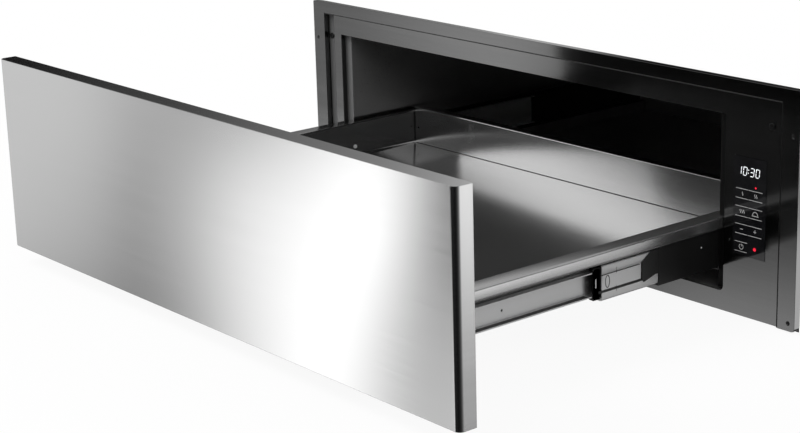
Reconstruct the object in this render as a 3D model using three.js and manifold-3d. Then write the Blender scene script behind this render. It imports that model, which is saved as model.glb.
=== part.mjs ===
// Built-in warming drawer for a 30 inch cabinet, with its drawer pulled out.
// Millimetres, +Z up, +Y into the cabinet. The origin is the centre of the casing's base, on its underside.

import * as THREE from 'three';
import { mergeVertices } from 'three/addons/utils/BufferGeometryUtils.js';
import Module from 'manifold-3d';

// ---------------------------------------------------------------- driving dimensions

// clearances
const seat = 0.3;              // left between two pieces that rest on each other
const slip = 0.2;              // left beside a thin part that slides between two others
const drillClearance = 0.6;    // a hole is this much wider than what passes through it

// width over the trim, which the drawer front covers when it is closed
const applianceWidth = 755.6;

// casing, the box that slides into the cabinet, and the frame at its front
const caseSheet = 1;
const baseUpstand = 11;
const frameSheet = 1;
const frameFlange = 6;
const frameSideInset = 17.8;
const frameTopInset = 8.9;
const rearGap = 14.2;

// fascia: a raised trim on three sides round a sunk plate
const trimHeight = 239;
const trimBottom = 1.9;
const trimSide = 21.2;
const trimTop = 13.3;
const trimSheet = 1.2;
const trimRim = 3;
const trimTopCorner = 1.5;
const trimBottomCorner = 4;
const trimHole = 4.5;
const trimHoleInset = 8;
const trimHoleLow = 8.1;
const trimHoleDrop = 44.9;
const plateSheet = 1.2;
const recessDepth = 7;
const plateScrewDrop = 27.9;
const plateScrewLeftInset = 5.6;
const plateScrewRightInset = 17.7;

// opening in the fascia, which sits left of the middle to leave room for the controls
const openingLeftBorder = 23.1;
const controlBorder = 75.5;
const openingTopBorder = 24.6;
const openingBottom = 20.5;
const openingCorner = 5;

// cavity behind the opening: narrower above the rails than beside them
const cavitySheet = 1;
const cavitySideReveal = 0.6;
const cavityReveal = 1;
const cavityLedgeWidth = 11.8;
const cavityLedgeClearance = 3.5;
const cavityFlangeWidth = 10.4;
const railBackRoom = 24;
const sealDepth = 4.95;
const sealWidth = 3.4;
const sealTopGap = 5.2;
const sealBottomGap = 1.5;
const insulationSide = 15;
const insulationBack = 15;

// probe and safety cut-out on the cavity's back wall
const sensorOffset = 150;
const sensorZ = 150;
const sensorDiameter = 5;
const sensorReach = 18;
const sensorTail = 9;
const sensorFlange = 14;
const sensorFlangeThickness = 1.5;
const cutoutSpacing = 32;
const cutoutDiameter = 16;
const cutoutDepth = 8;
const cutoutClearance = 6;

// heating element under the cavity floor
const elementDiameter = 6.5;
const elementLeftInset = 63.8;
const elementRightInset = 51.4;
const elementPitch = 87;
const elementBend = 40;
const elementTail = 5;
const elementSlotHalf = 6;
const strapSheet = 0.8;
const strapFoot = 6;
const strapWidth = 10;
const strapSpread = 260;

// controls and electronics, in the compartment right of the cavity
const glassBorder = 22.8;
const glassWidth = 41.1;
const glassBottom = 63.4;
const glassHeight = 100.5;
const glassThickness = 2.7;
const glassProud = 0.4;
const holderWall = 2;
const holderDepth = 25;
const holderBorder = 4.4;
const boardThickness = 1.6;
const numeralWidth = 28;
const numeralHeight = 18;
const numeralDepth = 6;
const numeralInset = 8;
const keyStripWidth = 6;
const keyStripDepth = 4;
const keyStripInset = 8;
const boardPost = 6;
const powerBoardLength = 160;
const powerBoardHeight = 130;
const powerBoardFront = -120;
const powerBoardBottom = 60;
const componentInset = 14;
const transformerLength = 40;
const transformerHeight = 36;
const transformerReach = 24;
const relayLength = 20;
const relayHeight = 28;
const relayReach = 16;
const relayFirst = 70;
const relayPitch = 32;
const capacitorDiameter = 18;
const capacitorReach = 22;
const carrierSheet = 1.5;
const postLength = 4.3;
const postDiameter = 7;
const postInset = 8;
const harnessDiameter = 7;
const harnessLead = 30;
const harnessRun = 24;
const harnessDrop = 12;
const harnessEnd = 4;
const junctionWidth = 46;
const junctionLength = 82;
const junctionHeight = 69;
const junctionWall = 1.2;
const junctionGap = 4;
const glandBody = 13.4;
const glandBore = 8;
const glandFlange = 20;
const glandFlangeThickness = 3;
const glandReach = 8;
const ventLength = 34;
const ventHeight = 4;
const ventPitch = 12;
const sideVentFront = 70;
const sideVentBottom = 120;
const sideVentRows = 5;
const sideVentColumns = 2;
const sideVentPitch = 46;
const backVentInset = 10;
const backVentBottom = 150;
const backVentRows = 4;

// drawer front
const frontHeight = 212;
const frontDepth = 19.8;
const frontBottom = 19.8;
const frontSheet = 1;
const frontCorner = 6;
const frontBackCorner = 1.2;
const innerPanelSheet = 1.3;
const coreMargin = 4;

// drawer pan, with a flange and a skirt over each rail
const panShortOfRails = 0.55;
const panFloor = 55.5;
const panRim = 96.5;
const panSheet = 1;
const flangeWidth = 19.5;
const flangeCorner = 3.5;
const skirtHeight = 13.1;
const skirtCurl = 4;
const skirtCurlRadius = 2.5;
const backFlange = 12.7;
const backLip = 5.5;
const rimRadius = 1.5;
const floorRadius = 3;

// travel of the drawer
const drawerTravel = 408;
const closedGap = 1.75;

// telescopic slides: rails of three heights, one inside the other
const slideHeight = 62.2;
const slideThickness = 12.7;
const railSheet = 1.2;
const raceSheet = 1.4;
const railBend = 2;
const outerRailHeight = 45.7;
const outerRailReach = 8.2;
const outerRailLength = 510;
const outerRailFront = 11;
const middleRailHeight = 36.2;
const middleRailReach = 7.9;
const middleRailLength = 464.4;
const middleRailFront = 50.6;
const innerRailHeight = 24.8;
const innerRailReach = 8.2;
const innerRailLength = 500;
const innerRailFront = 2.75;
const webGap = 1;
const cageWeb = 0.6;
const cageFlange = 0.8;
const outerCageLength = 275;
const outerCageFront = 26.6;
const outerCageFinger = 23.6;
const outerCageBallsFrom = 95;
const innerCageLength = 224;
const innerCageFront = 142.3;
const ballClearance = 0.3;
const ballsPerRace = 6;
const bracketHeight = 34;
const bracketSheet = 1.2;
const bracketReach = 9.9;
const bracketFront = 15;
const bracketShortOfRails = 10;
const stopSheet = 1.4;
const stopReach = 6;
const stopHeight = 18;

// push latch at the back of the cavity
const latchWidth = 30;
const latchHeight = 24;
const latchDepth = 24;
const latchBottom = 63;
const latchWall = 1.5;
const plungerDiameter = 10;
const plungerTravel = 8;
const strikerGap = 0.5;
const strikerThickness = 1.5;
const strikerWidth = 30;
const strikerHeight = 18;

// fasteners
const screwHead = 7;
const screwHeadHeight = 1.6;
const screwShank = 3.6;
const screwLength = 6;
const rivetShank = 3;
const rivetHeight = 66.9;
const rivetFirst = 137.75;
const rivetPitch = 138.5;
const rivetCount = 3;
const frontScrewSpread = 420;
const frontScrewHeight = 78;
const angleWidth = 460;
const angleLeg = 38;
const angleDrop = 20;
const angleSheet = 2;

// ---------------------------------------------------------------- places worked out from them

const trimTopEdge = trimBottom + trimHeight;
const frameWidth = applianceWidth - 2 * frameSideInset;
const frameHeight = trimTopEdge - frameTopInset;
const caseWidth = frameWidth - 2 * frameFlange;
const caseHeight = frameHeight - frameFlange;

const linerSetback = recessDepth + plateSheet + seat + sealDepth + seat;
const cavityDepth = outerRailFront + outerRailLength + railBackRoom - linerSetback;
const caseDepth = sealDepth + seat + cavityDepth + cavitySheet + seat + insulationBack + rearGap + caseSheet;
const caseFront = -caseDepth / 2;
const plateBack = caseFront - seat;
const plateFront = plateBack - plateSheet;
const trimFront = plateFront - recessDepth;
const trimBack = plateBack;
const linerFront = caseFront + sealDepth + seat;
const linerBack = linerFront + cavityDepth;

const plateHalf = applianceWidth / 2 - trimSide - seat;
const plateTop = trimTopEdge - trimTop - seat;
const plateScrewHeight = plateTop - plateScrewDrop;
const plateScrewLeft = -plateHalf + plateScrewLeftInset;
const plateScrewRight = plateHalf - plateScrewRightInset;
const openingLeft = -plateHalf + openingLeftBorder;
const openingRight = plateHalf - controlBorder;
const openingTop = plateTop - openingTopBorder;
const drawerCentre = (openingLeft + openingRight) / 2;

const cavityLowHalf = (openingRight - openingLeft) / 2 + cavitySideReveal;
const cavityHighHalf = cavityLowHalf - cavityLedgeWidth;
const cavityFloor = openingBottom - cavityReveal;
const cavityCeiling = openingTop + cavityReveal;
const cavityLedge = panRim + cavityLedgeClearance;
const dividerLeft = drawerCentre + cavityLowHalf + cavitySheet + seat + insulationSide + seat;

const wallOuter = cavityLowHalf - bracketReach - slideThickness;
const panHalf = wallOuter - panSheet;
const panLength = outerRailLength - panShortOfRails;
const bracketLength = outerRailLength - bracketShortOfRails;
const panBackOuter = panLength + 2 * panSheet;
const drawerBack = trimFront - closedGap - drawerTravel;
const closedPanBack = trimFront - closedGap + panBackOuter;
const outerWeb = slideThickness - railSheet;
const middleWeb = outerWeb - webGap - railSheet;
const rivetPlaces = Array.from({ length: rivetCount }, (_, i) => rivetFirst + i * rivetPitch);

const elementLeft = drawerCentre - cavityLowHalf + elementLeftInset;
const elementRight = drawerCentre + cavityLowHalf - elementRightInset;
const elementRows = [1.5, 0.5, -0.5, -1.5].map((row) => row * elementPitch);

const glassLeft = plateHalf - glassBorder - glassWidth;
const holderLeft = drawerCentre + cavityLowHalf + cavityFlangeWidth + seat;
const holderRight = glassLeft + glassWidth + holderBorder;
const holderBottom = glassBottom - holderBorder;
const holderTop = glassBottom + glassHeight + holderBorder;
const holderBack = caseFront + frameSheet + holderDepth;

// ---------------------------------------------------------------- geometry helpers

const wasm = await Module();
wasm.setup();

function toSolid(geometry) {
  const bare = geometry.clone();
  bare.deleteAttribute('normal');
  bare.deleteAttribute('uv');
  const merged = mergeVertices(bare, 1e-4);
  return new wasm.Manifold(new wasm.Mesh({
    numProp: 3,
    vertProperties: merged.attributes.position.array,
    triVerts: new Uint32Array(merged.index.array),
  }));
}

function toGeometry(solid) {
  const { vertProperties, triVerts } = solid.getMesh();
  const geometry = new THREE.BufferGeometry();
  geometry.setAttribute('position', new THREE.BufferAttribute(new Float32Array(vertProperties), 3));
  geometry.setIndex(new THREE.BufferAttribute(new Uint32Array(triVerts), 1));
  geometry.computeVertexNormals();
  return geometry;
}

function join(...geometries) {
  return toGeometry(geometries.map(toSolid).reduce((whole, next) => whole.add(next)));
}

function cut(geometry, ...tools) {
  return toGeometry(tools.map(toSolid).reduce((whole, tool) => whole.subtract(tool), toSolid(geometry)));
}

function inOrder(a, b) {
  return [Math.min(a, b), Math.max(a, b)];
}

function slab(xs, ys, zs) {
  const box = new THREE.BoxGeometry(xs[1] - xs[0], ys[1] - ys[0], zs[1] - zs[0]);
  return box.translate((xs[0] + xs[1]) / 2, (ys[0] + ys[1]) / 2, (zs[0] + zs[1]) / 2);
}

function rectangle(left, right, bottom, top) {
  return [[left, bottom], [right, bottom], [right, top], [left, top]];
}

function circle(x, y, diameter, sides = 10) {
  return Array.from({ length: sides }, (_, i) => {
    const angle = (i / sides) * 2 * Math.PI;
    return [x + (diameter / 2) * Math.cos(angle), y + (diameter / 2) * Math.sin(angle)];
  });
}

// replaces each corner of an outline by an arc of its radius
function fillet(points, radii, steps = 3) {
  const count = points.length;
  return points.flatMap((point, i) => {
    const radius = Array.isArray(radii) ? radii[i] : radii;
    if (!(radius > 0.05)) return [point];
    const corner = new THREE.Vector2(...point);
    const before = new THREE.Vector2(...points[(i + count - 1) % count]).sub(corner).normalize();
    const after = new THREE.Vector2(...points[(i + 1) % count]).sub(corner).normalize();
    const half = Math.acos(THREE.MathUtils.clamp(before.dot(after), -1, 1)) / 2;
    const bisector = before.clone().add(after).normalize();
    const centre = corner.clone().addScaledVector(bisector, radius / Math.sin(half));
    const from = corner.clone().addScaledVector(before, radius / Math.tan(half)).sub(centre);
    const turn = Math.sign(before.cross(after)) * -(Math.PI - 2 * half);
    return Array.from({ length: steps + 1 }, (_, k) => {
      const spoke = from.clone().rotateAround(new THREE.Vector2(), (turn * k) / steps);
      return [centre.x + spoke.x, centre.y + spoke.y];
    });
  });
}

// outline of a folded sheet: path is one face, the sheet lies left of it, or right if thickness is negative
function fold(path, thickness, bends = 0) {
  const points = path.map((p) => new THREE.Vector2(...p));
  const runs = points.slice(1).map((p, i) => p.clone().sub(points[i]).normalize());
  const sides = runs.map((run) => new THREE.Vector2(-run.y, run.x).multiplyScalar(thickness));
  const last = points.length - 1;
  const far = points.map((p, i) => {
    if (i === 0) return p.clone().add(sides[0]);
    if (i === last) return p.clone().add(sides[last - 1]);
    const sum = sides[i - 1].clone().add(sides[i]);
    return p.clone().addScaledVector(sum, (2 * thickness * thickness) / sum.lengthSq());
  });
  const wall = Math.abs(thickness);
  const radii = points.map((p, i) => {
    const bend = Array.isArray(bends) ? bends[i] : bends;
    if (i === 0 || i === last || !bend) return [0, 0];
    const facing = runs[i - 1].cross(runs[i]) * thickness;
    return facing > 0 ? [bend, bend - wall] : [bend - wall, bend];
  });
  const outline = [...points, ...far.reverse()].map((p) => [p.x, p.y]);
  return fillet(outline, [...radii.map((r) => r[0]), ...radii.map((r) => r[1]).reverse()]);
}

function extrude(outline, depth, holes) {
  const shape = new THREE.Shape(outline.map((p) => new THREE.Vector2(...p)));
  shape.holes = holes.map((hole) => new THREE.Path(hole.map((p) => new THREE.Vector2(...p))));
  return new THREE.ExtrudeGeometry(shape, { depth, bevelEnabled: false, curveSegments: 1 });
}

// outline in (x, z), drawn out along Y
function alongY(outline, ys, holes = []) {
  return extrude(outline, ys[1] - ys[0], holes).rotateX(Math.PI / 2).translate(0, ys[1], 0);
}

// outline in (y, z), drawn out along X
function alongX(outline, xs, holes = []) {
  const turn = new THREE.Matrix4().makeBasis(
    new THREE.Vector3(0, 1, 0),
    new THREE.Vector3(0, 0, 1),
    new THREE.Vector3(1, 0, 0),
  );
  return extrude(outline, xs[1] - xs[0], holes).applyMatrix4(turn).translate(xs[0], 0, 0);
}

// outline in (x, y), drawn out along Z
function alongZ(outline, zs, holes = []) {
  return extrude(outline, zs[1] - zs[0], holes).translate(0, 0, zs[0]);
}

function rodAlongY(x, z, diameter, ys, sides = 10) {
  return alongY(circle(x, z, diameter, sides), ys);
}

function rodAlongX(y, z, diameter, xs, sides = 10) {
  return alongX(circle(y, z, diameter, sides), xs);
}

// ---------------------------------------------------------------- finishes and the scene graph

const finishes = {
  brushed: { color: 0xb9babb, roughness: 0.32, metalness: 0.9 },
  mirror: { color: 0x4a4a4c, roughness: 0.12, metalness: 1 },
  zinc: { color: 0xb4b6b8, roughness: 0.38, metalness: 0.9 },
  galvanised: { color: 0x9da1a4, roughness: 0.5, metalness: 0.8 },
  darkSteel: { color: 0x3a3b3d, roughness: 0.45, metalness: 0.8 },
  blackPlastic: { color: 0x121213, roughness: 0.45, metalness: 0 },
  silicone: { color: 0x0d0d0e, roughness: 0.7, metalness: 0 },
  glass: { color: 0x0a0a0b, roughness: 0.05, metalness: 0 },
  board: { color: 0x1f5a34, roughness: 0.5, metalness: 0 },
  wool: { color: 0xcdc6b0, roughness: 0.95, metalness: 0 },
  core: { color: 0xd8d4c8, roughness: 0.9, metalness: 0 },
  heater: { color: 0x54504c, roughness: 0.45, metalness: 0.8 },
};

const part = new THREE.Group();
const housing = new THREE.Group();
const drawer = new THREE.Group();
drawer.position.set(drawerCentre, drawerBack, 0);
part.add(housing, drawer);

function piece(parent, name, finish, geometry) {
  const mesh = new THREE.Mesh(geometry, new THREE.MeshStandardMaterial(finishes[finish]));
  mesh.name = name;
  parent.add(mesh);
  return mesh;
}

// ---------------------------------------------------------------- fascia

// raised trim: a hollow channel on the left, the top and the right, open at the bottom
function trimFrame() {
  const half = applianceWidth / 2;
  const inner = half - trimSide;
  const innerTop = trimTopEdge - trimTop;
  const arch = (outerHalf, outerTop, innerHalf, archTop, bottom) => [
    [-outerHalf, bottom], [-innerHalf, bottom], [-innerHalf, archTop], [innerHalf, archTop],
    [innerHalf, bottom], [outerHalf, bottom], [outerHalf, outerTop], [-outerHalf, outerTop],
  ];
  const corners = [trimBottomCorner, 0, 0, 0, 0, trimBottomCorner, trimTopCorner, trimTopCorner];
  const outline = fillet(arch(half, trimTopEdge, inner, innerTop, trimBottom), corners);
  const hollow = arch(
    half - trimRim,
    trimTopEdge - trimRim,
    inner + trimSheet,
    innerTop + trimSheet,
    trimBottom + trimRim,
  );
  const holes = [-1, 1].flatMap((side) => [trimBottom + trimHoleLow, trimTopEdge - trimHoleDrop].map((z) => (
    rodAlongY(side * (half - trimHoleInset), z, trimHole, [trimFront - 1, trimBack + 1])
  )));
  return cut(
    alongY(outline, [trimFront, trimBack]),
    alongY(hollow, [trimFront + trimSheet, trimBack + 1]),
    ...holes,
  );
}

function openingOutline(grow, bottom = openingBottom - grow, top = openingTop + grow) {
  return rectangle(openingLeft - grow, openingRight + grow, bottom, top);
}

function glassOutline(grow) {
  return rectangle(
    glassLeft - grow,
    glassLeft + glassWidth + grow,
    glassBottom - grow,
    glassBottom + glassHeight + grow,
  );
}

function fasciaPlate() {
  const holes = [
    fillet(openingOutline(0), [openingCorner, openingCorner, 0, 0]),
    glassOutline(seat),
    circle(plateScrewLeft, plateScrewHeight, screwShank + drillClearance, 8),
    circle(plateScrewRight, plateScrewHeight, screwShank + drillClearance, 8),
  ];
  return alongY(rectangle(-plateHalf, plateHalf, 0, plateTop), [plateFront, plateBack], holes);
}

// steel frame that the casing, the fascia and the holder of the controls are fixed to
function frontFrame() {
  const holes = [
    openingOutline(sealWidth + 2 * seat, cavityFloor, cavityCeiling),
    glassOutline(1),
    circle(plateScrewLeft, plateScrewHeight, screwShank + drillClearance, 8),
    circle(plateScrewRight, plateScrewHeight, screwShank + drillClearance, 8),
  ];
  const outline = rectangle(-frameWidth / 2, frameWidth / 2, 0, frameHeight);
  return alongY(outline, [caseFront, caseFront + frameSheet], holes);
}

function screwAlongY(x, z, faceY) {
  return join(
    rodAlongY(x, z, screwHead, [faceY - screwHeadHeight, faceY], 10),
    rodAlongY(x, z, screwShank, [faceY - screwHeadHeight / 2, faceY + screwLength], 8),
  );
}

// black strip that closes the gap between the cavity's flange and the fascia
function openingSeal(side) {
  const near = side < 0 ? openingLeft - seat : openingRight + seat;
  const xs = inOrder(near, near + side * sealWidth);
  const zs = [openingBottom + sealBottomGap, openingTop - sealTopGap];
  return slab(xs, [caseFront, caseFront + sealDepth], zs);
}

piece(housing, 'trim_frame', 'mirror', trimFrame());
piece(housing, 'fascia_plate', 'mirror', fasciaPlate());
piece(housing, 'front_frame', 'galvanised', frontFrame());
piece(housing, 'fascia_screw_left', 'zinc', screwAlongY(plateScrewLeft, plateScrewHeight, plateFront));
piece(housing, 'fascia_screw_right', 'zinc', screwAlongY(plateScrewRight, plateScrewHeight, plateFront));
piece(housing, 'opening_seal_left', 'silicone', openingSeal(-1));
piece(housing, 'opening_seal_right', 'silicone', openingSeal(1));

// ---------------------------------------------------------------- casing

const panelFront = caseFront + frameSheet;
const panelBack = caseDepth / 2;
const caseHalf = caseWidth / 2;

function basePan() {
  const outer = caseHalf - caseSheet;
  const inner = outer - caseSheet;
  const top = caseSheet + baseUpstand;
  const outline = [
    [-caseHalf, 0], [caseHalf, 0], [caseHalf, caseSheet], [outer, caseSheet], [outer, top], [inner, top],
    [inner, caseSheet], [-inner, caseSheet], [-inner, top], [-outer, top], [-outer, caseSheet],
    [-caseHalf, caseSheet],
  ];
  return alongY(outline, [panelFront, panelBack]);
}

// rows of ventilation slots, as outlines
function vents(first, rows, columns, pitch) {
  return Array.from({ length: rows * columns }, (_, i) => {
    const left = first[0] + (i % columns) * pitch;
    const bottom = first[1] + Math.floor(i / columns) * ventPitch;
    return rectangle(left, left + ventLength, bottom, bottom + ventHeight);
  });
}

const junctionLeft = dividerLeft + caseSheet + junctionGap;
const junctionBack = panelBack - caseSheet - seat;
const glandX = junctionLeft + junctionWidth / 2;
const glandZ = caseSheet + junctionHeight / 2;

function casingBack() {
  const half = caseHalf - caseSheet;
  const foot = half - caseSheet;
  const step = caseSheet + baseUpstand;
  const top = caseHeight - caseSheet;
  const outline = [
    [-foot, caseSheet], [foot, caseSheet], [foot, step], [half, step],
    [half, top], [-half, top], [-half, step], [-foot, step],
  ];
  const slots = vents([dividerLeft + backVentInset, backVentBottom], backVentRows, 1, 0);
  const hole = circle(glandX, glandZ, glandBody + drillClearance, 12);
  return alongY(outline, [panelBack - caseSheet, panelBack], [...slots, hole]);
}

function casingSide(side) {
  const ys = [panelFront, panelBack];
  const outline = rectangle(ys[0], ys[1], caseSheet, caseHeight - caseSheet);
  const faces = inOrder(side * (caseHalf - caseSheet), side * caseHalf);
  if (side < 0) return alongX(outline, faces);
  const slots = vents([sideVentFront, sideVentBottom], sideVentRows, sideVentColumns, sideVentPitch);
  return cut(alongX(outline, faces), ...slots.map((slot) => alongX(slot, [faces[0] - 1, faces[1] + 1])));
}

piece(housing, 'base_pan', 'galvanised', basePan());
piece(housing, 'casing_left', 'galvanised', casingSide(-1));
piece(housing, 'casing_right', 'galvanised', casingSide(1));
piece(housing, 'casing_back', 'galvanised', casingBack());
piece(housing, 'casing_top', 'galvanised', slab(
  [-caseHalf, caseHalf],
  [panelFront, panelBack],
  [caseHeight - caseSheet, caseHeight],
));

// ---------------------------------------------------------------- cavity

// side wall: wide beside the rail, a ledge over it, narrower above, and a flange at the front
function cavitySide(side) {
  const at = (half) => drawerCentre + side * half;
  const path = [
    [at(cavityLowHalf), cavityFloor], [at(cavityLowHalf), cavityLedge],
    [at(cavityHighHalf), cavityLedge], [at(cavityHighHalf), cavityCeiling],
  ];
  const wall = alongY(fold(path, -side * cavitySheet), [linerFront, linerBack]);
  const flangeYs = [linerFront, linerFront + cavitySheet];
  const flange = (half, bottom) => {
    const xs = [at(half + cavitySheet / 2), at(cavityLowHalf + cavityFlangeWidth)].sort((a, b) => a - b);
    return slab(xs, flangeYs, [bottom, cavityCeiling]);
  };
  return join(
    wall,
    flange(cavityLowHalf, cavityFloor),
    flange(cavityHighHalf, cavityLedge + cavitySheet / 2),
  );
}

const cavityXs = [drawerCentre - cavityLowHalf - cavitySheet, drawerCentre + cavityLowHalf + cavitySheet];

function cavityCeilingSheet() {
  const path = [
    [linerFront, cavityCeiling + cavityFlangeWidth],
    [linerFront, cavityCeiling],
    [linerBack + cavitySheet, cavityCeiling],
  ];
  return alongX(fold(path, cavitySheet), cavityXs);
}

function cavityFloorSheet() {
  const path = [
    [linerFront, cavityFloor - cavityFlangeWidth],
    [linerFront, cavityFloor],
    [linerBack + cavitySheet, cavityFloor],
  ];
  return alongX(fold(path, -cavitySheet), cavityXs);
}

const sensorX = drawerCentre + sensorOffset;
const cutoutX = sensorX - cutoutSpacing;

function cavityBackSheet() {
  const hole = circle(sensorX, sensorZ, sensorDiameter + drillClearance, 10);
  return alongY(
    rectangle(cavityXs[0], cavityXs[1], cavityFloor, cavityCeiling),
    [linerBack, linerBack + cavitySheet],
    [hole],
  );
}

piece(housing, 'cavity_left', 'darkSteel', cavitySide(-1));
piece(housing, 'cavity_right', 'darkSteel', cavitySide(1));
piece(housing, 'cavity_top', 'darkSteel', cavityCeilingSheet());
piece(housing, 'cavity_floor', 'darkSteel', cavityFloorSheet());
piece(housing, 'cavity_back', 'darkSteel', cavityBackSheet());

// probe and safety cut-out on the cavity's back wall
function temperatureSensor() {
  const face = linerBack - seat;
  return join(
    rodAlongY(sensorX, sensorZ, sensorDiameter, [face - sensorReach, linerBack + sensorTail], 8),
    rodAlongY(sensorX, sensorZ, sensorFlange, [face - sensorFlangeThickness, face], 10),
  );
}

piece(housing, 'temperature_sensor', 'zinc', temperatureSensor());
const cutoutFace = linerBack + cavitySheet + seat;
piece(housing, 'thermal_cutout', 'blackPlastic', rodAlongY(
  cutoutX,
  sensorZ,
  cutoutDiameter,
  [cutoutFace, cutoutFace + cutoutDepth],
  12,
));

// ---------------------------------------------------------------- insulation

const woolYs = [linerFront + cavitySheet + seat, linerBack - seat];
const woolLeft = -caseHalf + caseSheet + seat;
const woolRight = dividerLeft - seat;
const woolBottom = caseSheet + baseUpstand + seat;
const elementCentre = cavityFloor - cavitySheet - seat - elementDiameter / 2;
const elementEnds = [elementRows[0], elementRows[elementRows.length - 1]];

function sideWool(side) {
  const low = drawerCentre + side * (cavityLowHalf + cavitySheet + seat);
  const high = drawerCentre + side * (cavityHighHalf + cavitySheet + seat);
  const far = side < 0 ? woolLeft : woolRight;
  const step = cavityLedge + cavitySheet + seat;
  const top = cavityCeiling - seat;
  const outline = [[far, woolBottom], [low, woolBottom], [low, step], [high, step], [high, top], [far, top]];
  return alongY(outline, woolYs);
}

function elementSlot(y) {
  const ys = [y - elementSlotHalf, y + elementSlotHalf];
  return slab([woolRight - insulationSide - 1, woolRight + 1], ys, [woolBottom - 1, cavityFloor]);
}

const woolTop = slab(
  [woolLeft, woolRight],
  woolYs,
  [cavityCeiling + cavityFlangeWidth + seat, caseHeight - caseSheet - seat],
);
const woolCeiling = slab(
  [cavityXs[0] + seat, cavityXs[1] - seat],
  woolYs,
  [cavityCeiling + cavitySheet + seat, cavityCeiling + cavityFlangeWidth + 2 * seat],
);
const woolBackYs = [linerBack + cavitySheet + seat, linerBack + cavitySheet + seat + insulationBack];
const woolBack = cut(
  slab([woolLeft, woolRight], woolBackYs, [cavityFloor, cavityCeiling]),
  slab(
    [cutoutX - cutoutDiameter / 2 - cutoutClearance, sensorX + cutoutDiameter / 2 + cutoutClearance],
    [woolBackYs[0] - 1, woolBackYs[1] + 1],
    [sensorZ - cutoutDiameter / 2 - cutoutClearance, sensorZ + cutoutDiameter / 2 + cutoutClearance],
  ),
);
const woolFloor = slab(
  [-caseHalf + 2 * caseSheet + seat, woolRight - insulationSide],
  woolYs,
  [caseSheet + seat, elementCentre - elementDiameter / 2 - strapSheet - 2 * seat],
);

piece(housing, 'insulation_left', 'wool', sideWool(-1));
piece(housing, 'insulation_right', 'wool', cut(
  sideWool(1),
  ...elementEnds.map(elementSlot),
  slab(
    [holderLeft - seat, woolRight + 1],
    [woolYs[0] - 1, holderBack + seat],
    [holderBottom - seat, holderTop + seat],
  ),
));
piece(housing, 'insulation_top', 'wool', join(woolTop, woolCeiling));
piece(housing, 'insulation_back', 'wool', woolBack);
piece(housing, 'insulation_floor', 'wool', woolFloor);

// ---------------------------------------------------------------- heating element

// a run of straight lines with its corners rounded, in the plane of the element
function roundedRun(points, radius, height) {
  const run = new THREE.CurvePath();
  const corners = points.map((p) => new THREE.Vector3(p[0], p[1], height));
  let from = corners[0];
  corners.slice(1, -1).forEach((corner, i) => {
    const entry = corner.clone().sub(corners[i]).normalize().multiplyScalar(-radius).add(corner);
    const exit = corners[i + 2].clone().sub(corner).normalize().multiplyScalar(radius).add(corner);
    run.add(new THREE.LineCurve3(from, entry));
    run.add(new THREE.QuadraticBezierCurve3(entry, corner, exit));
    from = exit;
  });
  run.add(new THREE.LineCurve3(from, corners[corners.length - 1]));
  return run;
}

function tube(run, diameter, sides, steps) {
  const section = new THREE.Shape(circle(0, 0, diameter, sides).map((p) => new THREE.Vector2(...p)));
  return new THREE.ExtrudeGeometry(section, {
    steps,
    extrudePath: run,
    bevelEnabled: false,
    curveSegments: 1,
  });
}

function heatingElement() {
  const end = dividerLeft + caseSheet + elementTail;
  const [first, second, third, fourth] = elementRows;
  const route = [
    [end, first], [elementLeft, first], [elementLeft, second], [elementRight, second],
    [elementRight, third], [elementLeft, third], [elementLeft, fourth], [end, fourth],
  ];
  return tube(roundedRun(route, elementBend, elementCentre), elementDiameter, 6, 96);
}

// strap that holds all the rows of the element up against the floor sheet
function elementStrap(x) {
  const half = elementDiameter / 2 + seat;
  const top = cavityFloor - cavitySheet - seat;
  const bottom = elementCentre - half;
  const rows = [...elementRows].sort((a, b) => a - b);
  const path = [
    [rows[0] - half - strapFoot, top],
    ...rows.flatMap((row) => [
      [row - half, top], [row - half, bottom], [row + half, bottom], [row + half, top],
    ]),
    [rows[rows.length - 1] + half + strapFoot, top],
  ];
  return alongX(fold(path, -strapSheet), [x - strapWidth / 2, x + strapWidth / 2]);
}

piece(housing, 'heating_element', 'heater', heatingElement());
piece(housing, 'element_strap_left', 'zinc', elementStrap(drawerCentre - strapSpread / 2));
piece(housing, 'element_strap_right', 'zinc', elementStrap(drawerCentre + strapSpread / 2));

// ---------------------------------------------------------------- controls and electronics

// wall between the insulation and the electronics, notched round the control housing
function electronicsDivider() {
  const xs = [dividerLeft, dividerLeft + caseSheet];
  const through = [xs[0] - 1, xs[1] + 1];
  const slots = elementEnds.map((y) => rectangle(
    y - elementSlotHalf,
    y + elementSlotHalf,
    elementCentre - elementSlotHalf,
    elementCentre + elementSlotHalf,
  ));
  return cut(
    slab(xs, [panelFront, panelBack - caseSheet], [caseSheet, caseHeight - caseSheet]),
    slab(through, [panelFront - 1, holderBack + seat], [holderBottom - seat, holderTop + seat]),
    ...slots.map((slot) => alongX(slot, through)),
  );
}

// box behind the glass, open at the back, with four posts for its board
function controlHousing() {
  const shell = slab([holderLeft, holderRight], [panelFront, holderBack], [holderBottom, holderTop]);
  const hollow = slab(
    [holderLeft + holderWall, holderRight - holderWall],
    [panelFront + holderWall, holderBack + 1],
    [holderBottom + holderWall, holderTop - holderWall],
  );
  const inset = holderWall + boardPost / 2 + 1;
  const posts = [holderLeft + inset, holderRight - inset].flatMap((x) => (
    [holderBottom + inset, holderTop - inset].map((z) => (
      rodAlongY(x, z, boardPost, [panelFront + holderWall / 2, boardFront - seat], 8)
    ))
  ));
  return join(cut(shell, hollow), ...posts);
}

const boardFront = panelFront + holderDepth / 2;

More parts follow.
